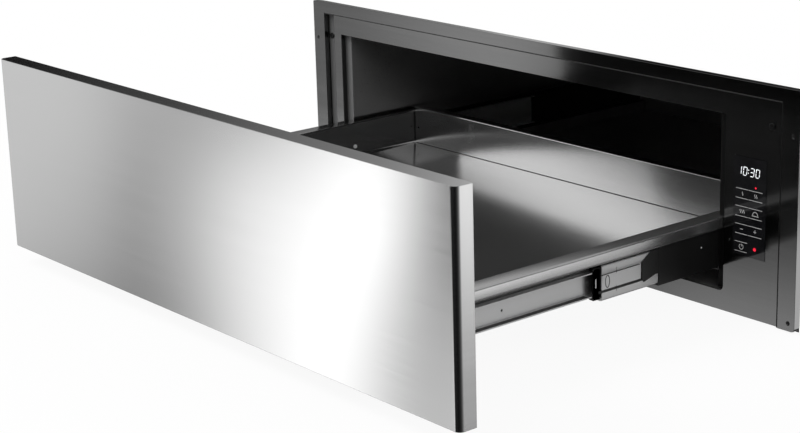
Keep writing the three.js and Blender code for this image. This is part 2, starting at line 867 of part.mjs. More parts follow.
// board with its numeral display and a row of light sources towards the glass
function controlBoard() {
  const margin = holderWall + seat;
  const xs = [holderLeft + margin, holderRight - margin];
  const zs = [holderBottom + margin, holderTop - margin];
  const middle = (xs[0] + xs[1]) / 2;
  const onBoard = (width, depth, bottom, top) => slab(
    [middle - width / 2, middle + width / 2],
    [boardFront - depth, boardFront + boardThickness / 2],
    [bottom, top],
  );
  const numeralTop = zs[1] - numeralInset;
  const numeralBottom = numeralTop - numeralHeight;
  return join(
    slab(xs, [boardFront, boardFront + boardThickness], zs),
    onBoard(numeralWidth, numeralDepth, numeralBottom, numeralTop),
    onBoard(keyStripWidth, keyStripDepth, zs[0] + keyStripInset, numeralBottom - keyStripInset),
  );
}

piece(housing, 'display_glass', 'glass', alongY(
  fillet(glassOutline(0), 1, 2),
  [plateFront - glassProud, plateFront - glassProud + glassThickness],
));
piece(housing, 'control_housing', 'blackPlastic', controlHousing());
piece(housing, 'control_board', 'board', controlBoard());
piece(housing, 'electronics_divider', 'galvanised', electronicsDivider());

const carrierRight = caseHalf - caseSheet - seat;
const powerBoardRight = carrierRight - carrierSheet - postLength - seat;
const powerBoardLeft = powerBoardRight - boardThickness;
const powerBoardBack = powerBoardFront + powerBoardLength;
const powerBoardTop = powerBoardBottom + powerBoardHeight;

// board with a transformer, two relays and a capacitor
function powerBoard() {
  const ys = [powerBoardFront, powerBoardBack];
  const zs = [powerBoardBottom, powerBoardTop];
  const seated = (reach) => [powerBoardLeft - reach, powerBoardLeft + boardThickness / 2];
  const block = (reach, place, length, height) => slab(
    seated(reach),
    [ys[0] + place, ys[0] + place + length],
    [zs[0] + componentInset, zs[0] + componentInset + height],
  );
  const relays = [relayFirst, relayFirst + relayPitch].map((place) => (
    block(relayReach, place, relayLength, relayHeight)
  ));
  return join(
    slab([powerBoardLeft, powerBoardRight], ys, zs),
    block(transformerReach, componentInset, transformerLength, transformerHeight),
    ...relays,
    rodAlongX(
      ys[0] + componentInset + capacitorDiameter,
      zs[1] - componentInset - capacitorDiameter,
      capacitorDiameter,
      seated(capacitorReach),
      10,
    ),
  );
}

// plate on the casing's wall with a post under each corner of the board
function boardCarrier() {
  const plateXs = [carrierRight - carrierSheet, carrierRight];
  const posts = [powerBoardFront + postInset, powerBoardBack - postInset].flatMap((y) => (
    [powerBoardBottom + postInset, powerBoardTop - postInset].map((z) => (
      rodAlongX(y, z, postDiameter, [powerBoardRight + seat, carrierRight - carrierSheet / 2], 8)
    ))
  ));
  return join(slab(plateXs, [powerBoardFront, powerBoardBack], [powerBoardBottom, powerBoardTop]), ...posts);
}

const junctionFront = junctionBack - junctionLength;
const harnessHole = harnessDiameter + 2 * drillClearance;

// steel box round the mains terminals, with a hole for the harness and one for the gland
function junctionBox() {
  const xs = [junctionLeft, junctionLeft + junctionWidth];
  const zs = [caseSheet, caseSheet + junctionHeight];
  const inside = (range) => [range[0] + junctionWall, range[1] - junctionWall];
  const ys = [junctionFront, junctionBack];
  return cut(
    slab(xs, ys, zs),
    slab(inside(xs), inside(ys), inside(zs)),
    rodAlongY(glandX, glandZ, harnessHole, [junctionFront - 1, junctionFront + 5]),
    rodAlongY(glandX, glandZ, glandBody + drillClearance, [junctionBack - 5, junctionBack + 1], 12),
  );
}

function cableGland() {
  const ys = [junctionBack - glandReach, panelBack + seat + glandFlangeThickness];
  return cut(
    join(
      rodAlongY(glandX, glandZ, glandBody, ys, 12),
      rodAlongY(glandX, glandZ, glandFlange, [panelBack + seat, ys[1]], 12),
    ),
    rodAlongY(glandX, glandZ, glandBore, [ys[0] - 1, ys[1] + 1], 10),
  );
}

// cable bundle from the control board, past the power board, into the junction box
function wiringHarness() {
  const startX = (holderLeft + holderRight) / 2;
  const startZ = (holderBottom + holderTop) / 2;
  const laneX = glandX - harnessDrop;
  const laneZ = powerBoardBottom - harnessDrop;
  const points = [
    [startX, boardFront + boardThickness + seat, startZ],
    [startX, boardFront + harnessLead, startZ],
    [laneX, powerBoardFront, laneZ],
    [laneX, powerBoardBack, laneZ],
    [glandX, junctionFront - harnessRun, glandZ],
    [glandX, junctionFront + harnessEnd, glandZ],
  ];
  const run = new THREE.CatmullRomCurve3(points.map((p) => new THREE.Vector3(...p)), false, 'centripetal');
  return tube(run, harnessDiameter, 8, 30);
}

piece(housing, 'power_board', 'board', powerBoard());
piece(housing, 'board_carrier', 'blackPlastic', boardCarrier());
piece(housing, 'junction_box', 'galvanised', junctionBox());
piece(housing, 'cable_gland', 'blackPlastic', cableGland());
piece(housing, 'wiring_harness', 'silicone', wiringHarness());

// ---------------------------------------------------------------- push latch

const strikerFace = closedPanBack + strikerThickness;
const latchBack = linerBack - seat;
const latchFront = latchBack - latchDepth;
const latchCentre = latchBottom + latchHeight / 2;
const plungerTip = strikerFace + strikerGap;
const plungerEnd = latchBack - latchWall - plungerTravel - drillClearance;

function latchBody() {
  const xs = [drawerCentre - latchWidth / 2, drawerCentre + latchWidth / 2];
  return cut(
    slab(xs, [latchFront, latchBack], [latchBottom, latchBottom + latchHeight]),
    rodAlongY(
      drawerCentre,
      latchCentre,
      plungerDiameter + drillClearance,
      [latchFront - 1, latchBack - latchWall],
      12,
    ),
  );
}

piece(housing, 'latch_body', 'blackPlastic', latchBody());
piece(housing, 'latch_plunger', 'zinc', rodAlongY(
  drawerCentre,
  latchCentre,
  plungerDiameter,
  [plungerTip, plungerEnd],
  12,
));

// ---------------------------------------------------------------- telescopic slides

// u runs from the pan's wall towards the cabinet, v is the height above the slide's middle line
function channel(side, back, reach, height, sheet) {
  const tip = side * (back + reach);
  const root = side * back;
  const half = height / 2;
  const thickness = -side * Math.sign(reach) * sheet;
  const path = [[tip, -half], [root, -half], [root, half], [tip, half]];
  return fold(path, thickness, [0, railBend, railBend, 0]);
}

const outerRace = {
  centre: (outerRailHeight / 2 - raceSheet + middleRailHeight / 2) / 2,
  ball: outerRailHeight / 2 - raceSheet - middleRailHeight / 2 - 2 * ballClearance,
  u: slideThickness - 5.2,
};
const innerRace = {
  centre: (middleRailHeight / 2 - raceSheet + innerRailHeight / 2) / 2,
  ball: middleRailHeight / 2 - raceSheet - innerRailHeight / 2 - 2 * ballClearance,
  u: 5,
};

function ballPlaces(front, length) {
  const margin = 14;
  const pitch = (length - 2 * margin) / (ballsPerRace - 1);
  return Array.from({ length: ballsPerRace }, (_, i) => front + margin + i * pitch);
}

function balls(side, race, places) {
  return places.flatMap((y) => [-1, 1].map((row) => (
    new THREE.SphereGeometry(race.ball / 2, 8, 5).translate(side * race.u, y, row * race.centre)
  )));
}

// strip of thin sheet round the web, with the balls held in its two flanges
function cage(side, web, tip, race, ys, fingerLength, places) {
  const half = race.centre + cageFlange / 2;
  const strip = alongY(fold([
    [side * tip, -half], [side * (web + cageWeb), -half], [side * (web + cageWeb), half], [side * tip, half],
  ], side * cageFlange), ys);
  const between = [-half + cageFlange, half - cageFlange];
  const spare = slab(inOrder(side * tip, side * web), [ys[0] - 1, ys[1] + 1], between);
  const fingerXs = inOrder(side * web, side * (web + cageWeb));
  const finger = slab(fingerXs, [ys[0] - fingerLength, ys[0] + 1], between);
  return join(cut(strip, spare), finger, ...balls(side, race, places));
}

function slide(side, suffix) {
  const rails = new THREE.Group();
  rails.position.set(drawerCentre + side * wallOuter, trimFront, slideHeight);
  part.add(rails);

  const outerRailBack = outerRailFront + outerRailLength;
  piece(rails, `outer_rail_${suffix}`, 'zinc', join(
    alongY(
      channel(side, slideThickness, -outerRailReach, outerRailHeight, raceSheet),
      [outerRailFront, outerRailBack],
    ),
    slab(
      inOrder(side * (outerWeb - stopReach), side * (outerWeb + raceSheet / 2)),
      [outerRailBack - stopSheet, outerRailBack],
      [-stopHeight / 2, stopHeight / 2],
    ),
  ));

  const middleAt = middleRailFront - drawerTravel / 2;
  piece(rails, `middle_rail_${suffix}`, 'zinc', alongY(
    channel(side, middleWeb + railSheet, -middleRailReach, middleRailHeight, raceSheet),
    [middleAt, middleAt + middleRailLength],
  ));

  const innerAt = innerRailFront - closedGap - drawerTravel;
  const innerRail = alongY(
    channel(side, 0, innerRailReach, innerRailHeight, railSheet),
    [innerAt, innerAt + innerRailLength],
  );
  const rivetHoles = rivetPlaces.map((place) => rodAlongX(
    place - closedGap - drawerTravel,
    rivetHeight - slideHeight,
    rivetShank + drillClearance,
    [-4, 4],
    8,
  ));
  piece(rails, `inner_rail_${suffix}`, 'zinc', cut(innerRail, ...rivetHoles));

  const outerCageAt = outerCageFront - drawerTravel / 4;
  const outerPlaces = ballPlaces(outerCageAt + outerCageBallsFrom, outerCageLength - outerCageBallsFrom);
  piece(rails, `outer_cage_${suffix}`, 'blackPlastic', cage(
    side,
    middleWeb + railSheet + slip,
    outerRace.u - outerRace.ball,
    outerRace,
    [outerCageAt, outerCageAt + outerCageLength],
    outerCageFinger,
    outerPlaces,
  ));

  const innerCageAt = innerCageFront - (drawerTravel * 3) / 4;
  const innerPlaces = ballPlaces(innerCageAt + 6, innerCageLength - 6);
  piece(rails, `inner_cage_${suffix}`, 'blackPlastic', cage(
    side,
    innerRailReach + slip,
    innerRace.u - innerRace.ball / 2 - 0.4,
    innerRace,
    [innerCageAt, innerCageAt + innerCageLength],
    0,
    innerPlaces,
  ));
}

slide(-1, 'left');
slide(1, 'right');

// channels between the cavity's walls and the outer rails
function railBracket(side) {
  return alongY(
    channel(side, slideThickness, bracketReach, bracketHeight, bracketSheet),
    [bracketFront, bracketFront + bracketLength],
  ).translate(drawerCentre + side * wallOuter, trimFront, slideHeight);
}

piece(housing, 'rail_bracket_left', 'galvanised', railBracket(-1));
piece(housing, 'rail_bracket_right', 'galvanised', railBracket(1));

// ---------------------------------------------------------------- drawer

const flangeHalf = panHalf + flangeWidth;

// sheet metal tray with flanges over the rails; y is 0 at the back of the drawer front
function drawerPan() {
  const skirtFoot = panRim - skirtHeight;
  const section = fold([
    [-flangeHalf + skirtCurl, skirtFoot], [-flangeHalf, skirtFoot], [-flangeHalf, panRim], [-panHalf, panRim],
    [-panHalf, panFloor], [panHalf, panFloor], [panHalf, panRim], [flangeHalf, panRim],
    [flangeHalf, skirtFoot], [flangeHalf - skirtCurl, skirtFoot],
  ], -panSheet, [
    0, skirtCurlRadius, flangeCorner, rimRadius, floorRadius,
    floorRadius, rimRadius, flangeCorner, skirtCurlRadius, 0,
  ]);
  const wallXs = [-panHalf - panSheet / 2, panHalf + panSheet / 2];
  const wallZs = [panFloor - panSheet / 2, panRim];
  const backInner = panSheet + panLength;
  const flange = fold([
    [backInner + panSheet / 2, panRim],
    [backInner + backFlange, panRim],
    [backInner + backFlange, panRim - backLip],
  ], -panSheet, [0, rimRadius, 0]);
  const rivetHoles = [-1, 1].flatMap((side) => rivetPlaces.map((place) => rodAlongX(
    place,
    rivetHeight,
    rivetShank + drillClearance,
    [side * panHalf - 3, side * panHalf + 3],
    8,
  )));
  const screwHoles = [-1, 1].map((side) => rodAlongY(
    (side * frontScrewSpread) / 2,
    frontScrewHeight,
    screwShank + drillClearance,
    [-1, panSheet + 1],
    8,
  ));
  return cut(
    join(
      alongY(section, [0, backInner + panSheet]),
      slab(wallXs, [0, panSheet], wallZs),
      slab(wallXs, [backInner, backInner + panSheet], wallZs),
      alongX(flange, [-flangeHalf, flangeHalf]),
    ),
    ...rivetHoles,
    ...screwHoles,
  );
}

// outer skin of the front: a tray open at the back, with rounded upright edges
function frontSkin() {
  const half = applianceWidth / 2;
  const outer = fillet(
    [[-half, -frontDepth], [half, -frontDepth], [half, 0], [-half, 0]],
    [frontCorner, frontCorner, frontBackCorner, frontBackCorner],
    4,
  );
  const inner = fillet(
    [
      [-half + frontSheet, -frontDepth + frontSheet], [half - frontSheet, -frontDepth + frontSheet],
      [half - frontSheet, 2], [-half + frontSheet, 2],
    ],
    [frontCorner - frontSheet, frontCorner - frontSheet, 0, 0],
    4,
  );
  return cut(
    alongZ(outer, [frontBottom, frontBottom + frontHeight]),
    alongZ(inner, [frontBottom + frontSheet, frontBottom + frontHeight - frontSheet]),
  ).translate(-drawerCentre, 0, 0);
}

const frontScrewHoles = [-1, 1].map((side) => (
  circle((side * frontScrewSpread) / 2, frontScrewHeight, screwShank + drillClearance, 8)
));

function frontInnerPanel() {
  const half = applianceWidth / 2 - frontSheet - seat;
  const zs = [frontBottom + frontSheet + seat, frontBottom + frontHeight - frontSheet - seat];
  const outline = rectangle(-half - drawerCentre, half - drawerCentre, zs[0], zs[1]);
  return alongY(outline, [-innerPanelSheet, 0], frontScrewHoles);
}

function frontCore() {
  const half = applianceWidth / 2 - frontCorner - coreMargin;
  const zs = [frontBottom + coreMargin, frontBottom + frontHeight - coreMargin];
  const outline = rectangle(-half - drawerCentre, half - drawerCentre, zs[0], zs[1]);
  return alongY(outline, [-frontDepth + frontSheet + seat, -innerPanelSheet - seat], frontScrewHoles);
}

// angle under the pan that stiffens its joint with the front
function frontAngle() {
  const top = panFloor - panSheet - seat;
  const path = [[0, top - angleDrop], [0, top], [angleLeg, top]];
  return alongX(
    fold(path, -angleSheet, [0, angleSheet + 1, 0]),
    [-angleWidth / 2, angleWidth / 2],
  );
}

// pan screw, driven from inside the pan into the front
function frontScrew(side) {
  const x = (side * frontScrewSpread) / 2;
  const face = panSheet + seat;
  return join(
    rodAlongY(x, frontScrewHeight, screwHead, [face, face + screwHeadHeight], 10),
    rodAlongY(x, frontScrewHeight, screwShank, [face - screwLength, face + screwHeadHeight / 2], 8),
  );
}

piece(drawer, 'drawer_pan', 'brushed', drawerPan());
piece(drawer, 'front_skin', 'brushed', frontSkin());
piece(drawer, 'front_inner_panel', 'galvanised', frontInnerPanel());
piece(drawer, 'front_core', 'core', frontCore());
piece(drawer, 'front_angle', 'galvanised', frontAngle());
piece(drawer, 'front_screw_left', 'zinc', frontScrew(-1));
piece(drawer, 'front_screw_right', 'zinc', frontScrew(1));
piece(drawer, 'drawer_striker', 'zinc', slab(
  [-strikerWidth / 2, strikerWidth / 2],
  [panBackOuter, panBackOuter + strikerThickness],
  [latchCentre - strikerHeight / 2, latchCentre + strikerHeight / 2],
));

export default part;
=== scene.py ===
# Built in warming drawer for a 30 inch cabinet, shown with its drawer pulled out.
# Metres, X right, Y into the cabinet, Z up, origin on the underside of the casing, at its centre.

import math

import bmesh
import bpy
from mathutils import Matrix, Vector, noise


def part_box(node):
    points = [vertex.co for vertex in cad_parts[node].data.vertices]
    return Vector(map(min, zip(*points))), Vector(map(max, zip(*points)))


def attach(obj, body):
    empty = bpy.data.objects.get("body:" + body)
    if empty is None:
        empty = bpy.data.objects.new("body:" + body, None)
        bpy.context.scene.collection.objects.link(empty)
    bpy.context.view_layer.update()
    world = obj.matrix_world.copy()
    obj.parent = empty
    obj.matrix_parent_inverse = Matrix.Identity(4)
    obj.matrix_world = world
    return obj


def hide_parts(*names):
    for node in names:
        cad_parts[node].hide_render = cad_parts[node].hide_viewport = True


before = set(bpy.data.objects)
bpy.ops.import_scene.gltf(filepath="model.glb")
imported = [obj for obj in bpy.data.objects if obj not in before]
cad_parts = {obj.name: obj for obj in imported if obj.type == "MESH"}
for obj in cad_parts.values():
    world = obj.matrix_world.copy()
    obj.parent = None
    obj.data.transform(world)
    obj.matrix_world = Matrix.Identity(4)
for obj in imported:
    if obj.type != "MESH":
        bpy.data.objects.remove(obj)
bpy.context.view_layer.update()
mm = 0.001

# -------------------- camera
# Stands right of the open drawer and above it, looks at the fascia, and is rolled a little.

eye = Vector((1.49266, -1.68420, 0.63294))
azimuth, elevation, roll = (math.radians(angle) for angle in (50.91, 16.05, -1.62))
backward = Vector((
    math.sin(azimuth) * math.cos(elevation),
    -math.cos(azimuth) * math.cos(elevation),
    math.sin(elevation),
))
level = Vector((0, 0, 1)).cross(backward).normalized()
upright = backward.cross(level)
rightward = level * math.cos(roll) + upright * math.sin(roll)
upward = upright * math.cos(roll) - level * math.sin(roll)


def link_object(name, data):
    """Puts a camera, a lamp, a curve or a mesh in the scene."""
    made = bpy.data.objects.new(name, data)
    bpy.context.scene.collection.objects.link(made)
    return made


lens = bpy.data.cameras.new("camera")
lens.sensor_width = 36
lens.lens = 86.118
lens.shift_x = -0.00025
lens.shift_y = -0.00116
camera = link_object("camera", lens)
camera.matrix_world = Matrix.Translation(eye) @ Matrix((rightward, upward, backward)).transposed().to_4x4()
bpy.context.scene.camera = camera
bpy.context.scene.view_settings.view_transform = "Standard"

# -------------------- studio
# A pale floor, a white surround with soft bands of light and shade for the metal to mirror, and two
# soft lamps. The bands stand by their bearing round the object: 0 is ahead of it, -90 its left.

overhead_level, under_level, brightest = 0.5, 0.12, 2.5
shallow_bands = (
    (-180, 0.30), (-132, 0.28), (-100, 0.60), (-70, 0.80), (-62.8, 0.84), (-59.8, 0.62), (-57.5, 0.58),
    (-55.6, 0.52), (-54.0, 0.42), (-52.0, 0.55), (-50, 0.86), (-48.4, 1.15), (-46.6, 1.05), (-44, 0.06),
    (-30, 0.01), (38, 0.006), (58, 0.02), (75, 0.06), (84, 0.12), (98, 0.30), (112, 0.70), (122, 1.15),
    (128, 1.32), (131, 1.3), (133, 0.9), (135.2, 0.45), (137, 0.2), (150, 0.25), (180, 0.30),
)
middle_bands = (
    (-180, 0.30), (-132, 0.28), (-100, 0.60), (-70, 0.80), (-62.8, 0.72), (-60.4, 0.40), (-58.3, 0.74),
    (-57, 0.95), (-56, 1.30), (-55, 1.55), (-53, 1.68), (-51, 1.75), (-50, 2.0), (-49, 2.3), (-48, 2.4),
    (-47.2, 2.0), (-46.3, 0.9), (-45.4, 0.02), (-43, 0.03), (38, 0.006), (58, 0.02), (84, 0.12), (98, 0.30),
    (112, 0.70), (122, 1.25), (131, 1.4), (133, 1.0), (135.2, 0.5), (137, 0.2), (150, 0.25), (180, 0.30),
)
steep_bands = (
    (-180, 0.30), (-132, 0.28), (-100, 0.30), (-70, 0.28), (-62.8, 0.22), (-60.9, 0.12), (-60.0, 0.12),
    (-58.3, 0.28), (-57, 0.60), (-55.6, 1.05), (-54, 1.50), (-52, 1.75), (-50.4, 1.8), (-49, 1.4),
    (-47.4, 0.60), (-44, 0.80), (-42.2, 1.35), (-39.5, 1.15), (-36, 0.9), (-33, 0.60), (-28, 0.02),
    (38, 0.006), (58, 0.015), (75, 0.03), (84, 0.06), (98, 0.13), (112, 0.26), (124, 0.39), (134, 0.38),
    (150, 0.36), (180, 0.30),
)
raised_bands = (
    (-180, 0.15), (-141, 0.01), (-137.6, 0.01), (-136.4, 0.2), (-134.8, 0.7), (-133, 0.85), (-131, 0.38),
    (-127, 0.20), (-122, 0.06), (-117, 0.005), (-75, 0.12), (-56, 0.04), (-51.6, 0.05), (-50.8, 0.2),
    (-50, 0.5), (-49.2, 1.0), (-48.4, 1.4), (-47.5, 1.5), (-46.5, 1.45), (-45.3, 1.35), (-44.2, 1.05),
    (-43, 0.65), (-41.9, 0.25), (-40.7, 0.05), (-30, 0.03), (-8, 0.3), (20, 0.3), (42, 0.03), (60, 0.02),
    (120, 0.04), (150, 0.08), (180, 0.15),
)


def add_node(tree, kind, inputs=None, **settings):
    """Adds a shader node; a socket given as an input is linked to it."""
    made = tree.nodes.new(kind if kind.startswith("NodeGroup") else "ShaderNode" + kind)
    for name, value in settings.items():
        setattr(made, name, value)
    for name, value in (inputs or {}).items():
        if isinstance(value, bpy.types.NodeSocket):
            tree.links.new(value, made.inputs[name])
        else:
            made.inputs[name].default_value = value
    return made


def add_math(tree, operation, a, b):
    return add_node(tree, "Math", {0: a, 1: b}, operation=operation).outputs[0]


def opaque(tone):
    """Colour for a socket, from a grey level or a colour."""
    return (*tone, 1) if isinstance(tone, tuple) else (tone, tone, tone, 1)


def add_ramp(tree, factor, stops, smooth=True):
    """Colour ramp over stops of (place, grey level or colour)."""
    ramp = add_node(tree, "ValToRGB", {"Fac": factor})
    band = ramp.color_ramp
    band.interpolation = "EASE" if smooth else "LINEAR"
    for place, _ in stops[2:]:
        band.elements.new(place)
    for element, (place, tone) in zip(band.elements, stops):
        element.position = place
        element.color = opaque(tone)
    return ramp.outputs["Color"]


def add_mix(tree, factor, a, b):
    """Mix of two colours."""
    a, b = (tone if isinstance(tone, bpy.types.NodeSocket) else opaque(tone) for tone in (a, b))
    return add_node(tree, "Mix", {0: factor, 6: a, 7: b}, data_type="RGBA").outputs[2]


surround = bpy.data.worlds.new("surround")
surround.use_nodes = True
bpy.context.scene.world = surround
sky = surround.node_tree
sky.nodes.clear()
way = add_node(sky, "SeparateXYZ", {0: add_node(sky, "TexCoord").outputs["Generated"]})
ahead = add_math(sky, "MULTIPLY", way.outputs["Y"], -1)
bearing = add_math(sky, "ARCTAN2", way.outputs["X"], ahead)
turned = add_math(sky, "ADD", add_math(sky, "DIVIDE", bearing, 2 * math.pi), 0.5)


def add_band(bands):
    """Tone of one set of bands at the bearing."""
    return add_ramp(sky, turned, [(0.5 + b / 360, tone / brightest) for b, tone in bands])


def add_height(low, high):
    """Rises from 0 to 1 between two heights over the horizon, in degrees."""
    low, high = (math.sin(math.radians(height)) for height in (low, high))
    return add_node(sky, "MapRange", {"Value": way.outputs["Z"], "From Min": low, "From Max": high},
                    interpolation_type="SMOOTHSTEP").outputs["Result"]


banded = add_band(steep_bands)
for low, high, bands in ((-20.5, -15.5, middle_bands), (-14.4, -13.4, shallow_bands), (-2, 5, raised_bands)):
    banded = add_mix(sky, add_height(low, high), banded, add_band(bands))
banded = add_node(sky, "VectorMath", {0: banded, "Scale": brightest}, operation="SCALE").outputs[0]
banded = add_mix(sky, add_height(-44, -30), under_level, banded)
lit = add_mix(sky, add_height(19, 34), banded, overhead_level)
seen = add_mix(sky, add_node(sky, "LightPath").outputs["Is Camera Ray"], lit, 1.0)
glow = add_node(sky, "Background", {"Color": seen, "Strength": 1})
add_node(sky, "OutputWorld", {"Surface": glow.outputs[0]})


lamp_aim = Vector((0, -0.4, 0.1))


def soft_lamp(name, spot, size, power):
    """Round lamp that faces the object. The metal doesn't mirror it."""
    lamp = bpy.data.lights.new(name, "AREA")
    lamp.shape = "DISK"
    lamp.size = size
    lamp.energy = power
    holder = link_object(name, lamp)
    turn = (Vector(spot) - lamp_aim).to_track_quat("Z", "Y").to_matrix().to_4x4()
    holder.matrix_world = Matrix.Translation(spot) @ turn
    holder.visible_glossy = False


soft_lamp("key_lamp", (-1.7, -2.2, 2.6), 2.2, 75)
soft_lamp("fill_lamp", (2.4, -1.4, 1.6), 1.6, 20)


def as_mesh(name, shape):
    """Mesh of a shape. The shape is freed."""
    mesh = bpy.data.meshes.new(name)
    shape.to_mesh(mesh)
    shape.free()
    return mesh


def link_stage(name, shape, finish):
    made = link_object(name, as_mesh(name, shape))
    made.data.materials.append(finish)
    return made


def stage_finish(name):
    """Empty material and its node tree."""
    finish = bpy.data.materials.new(name)
    finish.use_nodes = True
    finish.node_tree.nodes.clear()
    return finish, finish.node_tree


floor_tone, paper_share = 0.93, 0.93
floor_half, floor_depth = 6, 0.4 * mm
floor_finish, tree = stage_finish("pale_floor")
ground = add_node(tree, "BsdfDiffuse", {"Color": opaque(floor_tone)})
paper = add_node(tree, "Emission", {"Color": opaque(1), "Strength": 1})
share = add_math(tree, "MULTIPLY", add_node(tree, "LightPath").outputs["Is Camera Ray"], paper_share)
pale = add_node(tree, "MixShader", {0: share, 1: ground.outputs[0], 2: paper.outputs[0]})
add_node(tree, "OutputMaterial", {"Surface": pale.outputs[0]})
shape = bmesh.new()
bmesh.ops.create_grid(shape, x_segments=1, y_segments=1, size=floor_half)
bmesh.ops.translate(shape, verts=shape.verts, vec=(0, 0, -floor_depth))
floor = link_stage("floor", shape, floor_finish)
floor.visible_glossy = False

# Cabinet face that the trim is screwed to: seen from the front only, and it throws no light or shade.
# It is white outside the trim. Behind it, where only the trim's holes look in, it is painted dark as shade.
# The reaches are half widths and heights in millimetres.

board_y, board_foot = -284.15 * mm, 0.5
hole_reach, trim_reach, board_reach = (361, 233), (377.2, 240.4), (1800, 560)


def one_sided_finish(name, tone):
    """Plain tone from the front, clear from behind."""
    finish, tree = stage_finish(name)
    paper = add_node(tree, "Emission", {"Color": opaque(tone), "Strength": 1})
    clear = add_node(tree, "BsdfTransparent")
    away = add_node(tree, "NewGeometry").outputs["Backfacing"]
    sided = add_node(tree, "MixShader", {0: away, 1: paper.outputs[0], 2: clear.outputs[0]})
    add_node(tree, "OutputMaterial", {"Surface": sided.outputs[0]})
    return finish


def cabinet_ring(name, tone, inner, outer):
    """Arch of board between two reaches, on the plane behind the trim."""
    shape = bmesh.new()
    arches = []
    for half, top in (inner, outer):
        arches.append([shape.verts.new((x * mm, board_y, z * mm)) for x, z in (
            (-half, board_foot), (-half, top), (half, top), (half, board_foot),
        )])
    for i in range(3):
        shape.faces.new((arches[0][i], arches[0][i + 1], arches[1][i + 1], arches[1][i]))
    for side in shape.faces:
        side.normal_update()
        if side.normal.y > 0:
            side.normal_flip()
    ring = link_stage(name, shape, one_sided_finish(name, tone))
    for kind in ("diffuse", "glossy", "transmission", "shadow", "volume_scatter"):
        setattr(ring, f"visible_{kind}", False)


cabinet_ring("cabinet_face", 1.0, trim_reach, board_reach)
# The dark arch behind the trim is painted shade: a flat dark tone that no lamp lights.
cabinet_ring("cabinet_painted_shade", 0.012, hole_reach, trim_reach)

# -------------------- front skin
# Outer skin of the drawer front: stainless sheet with brush lines along its width, folded into a tray that is
# open at the back. Its upright front edges are rounded to 6 mm and the top and bottom edges are only broken.

skin_sheet = 1 * mm
skin_corner = 6 * mm
fine_stretch, broad_stretch = (9, 1400, 1), (1.6, 70, 1)


def add_vector(tree, operation, a, b):
    return add_node(tree, "VectorMath", {0: a, 1: b}, operation=operation).outputs[0]


def add_noise(tree, place, scale, detail, rough=0.5, output="Fac"):
    inputs = {"Vector": place, "Scale": scale, "Detail": detail, "Roughness": rough}
    return add_node(tree, "TexNoise", inputs).outputs[output]


def brush_lines():
    """Node group: fine and broad brush lines on a map whose U runs with them."""
    group = bpy.data.node_groups.new("brush_lines", "ShaderNodeTree")
    for name, end, kind in (("Map", "INPUT", "Vector"), ("Density", "INPUT", "Float"),
                            ("Fine", "OUTPUT", "Float"), ("Broad", "OUTPUT", "Float")):
        group.interface.new_socket(name, in_out=end, socket_type=f"NodeSocket{kind}")
    source = add_node(group, "NodeGroupInput").outputs
    fine_map = add_vector(group, "MULTIPLY", source["Map"], fine_stretch)
    scaled = add_node(group, "VectorMath", {0: fine_map, "Scale": source["Density"]}, operation="SCALE")
    fine = add_noise(group, scaled.outputs[0], 1, 3, 0.6)
    broad = add_noise(group, add_vector(group, "MULTIPLY", source["Map"], broad_stretch), 1, 4, 0.55)
    add_node(group, "NodeGroupOutput", {"Fine": fine, "Broad": broad})
    return group


brushing = brush_lines()


def new_finish(name, **values):
    """Material with its shader's constant values set."""
    finish = bpy.data.materials.new(name)
    finish.use_nodes = True
    shader = finish.node_tree.nodes["Principled BSDF"]
    for key, value in values.items():
        shader.inputs[key.replace("_", " ")].default_value = value
    return finish, finish.node_tree, shader


def add_blend(tree, a, b, share):
    """Level made of a by its share and of b for the rest."""
    a, b = add_math(tree, "MULTIPLY", a, share), add_math(tree, "MULTIPLY", b, 1 - share)
    return add_math(tree, "ADD", a, b)


def dress(tree, shader, tone, dark, light, rough, smooth=True, reach=(0.3, 0.7), gloss_reach=(0.3, 0.7)):
    """Lets a level take the colour from dark to light and the roughness over its range."""
    colour = add_ramp(tree, tone, [(reach[0], dark), (reach[1], light)], smooth)
    tree.links.new(colour, shader.inputs["Base Color"])
    ends = zip(("From Min", "From Max", "To Min", "To Max"), (*gloss_reach, *rough))
    gloss = add_node(tree, "MapRange", {"Value": tone, **dict(ends)})
    tree.links.new(gloss.outputs["Result"], shader.inputs["Roughness"])


def add_relief(tree, shader, height, strength, distance):
    bump = add_node(tree, "Bump", {"Height": height, "Strength": strength, "Distance": distance})
    tree.links.new(bump.outputs[0], shader.inputs["Normal"])


def brushed_finish(name, dark, light, rough, anisotropy, density=1.0, line_height=0.00002):
    """Brushed metal on the grain map: lines in its tone, its gloss and its relief."""
    finish, tree, shader = new_finish(name, Metallic=1, Anisotropic=anisotropy, Anisotropic_Rotation=0.25)
    grain = add_node(tree, "UVMap", uv_map="grain").outputs[0]
    lines = add_node(tree, "Group", {"Map": grain, "Density": density}, node_tree=brushing)
    tone = add_blend(tree, lines.outputs["Fine"], lines.outputs["Broad"], 0.6)
    dress(tree, shader, tone, dark, light, rough, smooth=False)
    add_relief(tree, shader, lines.outputs["Fine"], 0.12, line_height)
    tangent = add_node(tree, "Tangent", direction_type="UV_MAP", uv_map="grain")
    tree.links.new(tangent.outputs[0], shader.inputs["Tangent"])
    return finish


def lay_grain(shape, along):
    """Map in metres whose U runs with the brush lines. On faces across them they run along the next axis."""
    layer = shape.loops.layers.uv.verify()
    main = "XYZ".index(along)
    for side in shape.faces:
        axis = main if abs(side.normal[main]) < 0.71 else (main + 1) % 3
        run = Vector((0, 0, 0))
        run[axis] = 1
        across = side.normal.cross(run)
        for corner in side.loops:
            corner[layer].uv = (corner.vert.co.dot(run), corner.vert.co.dot(across))


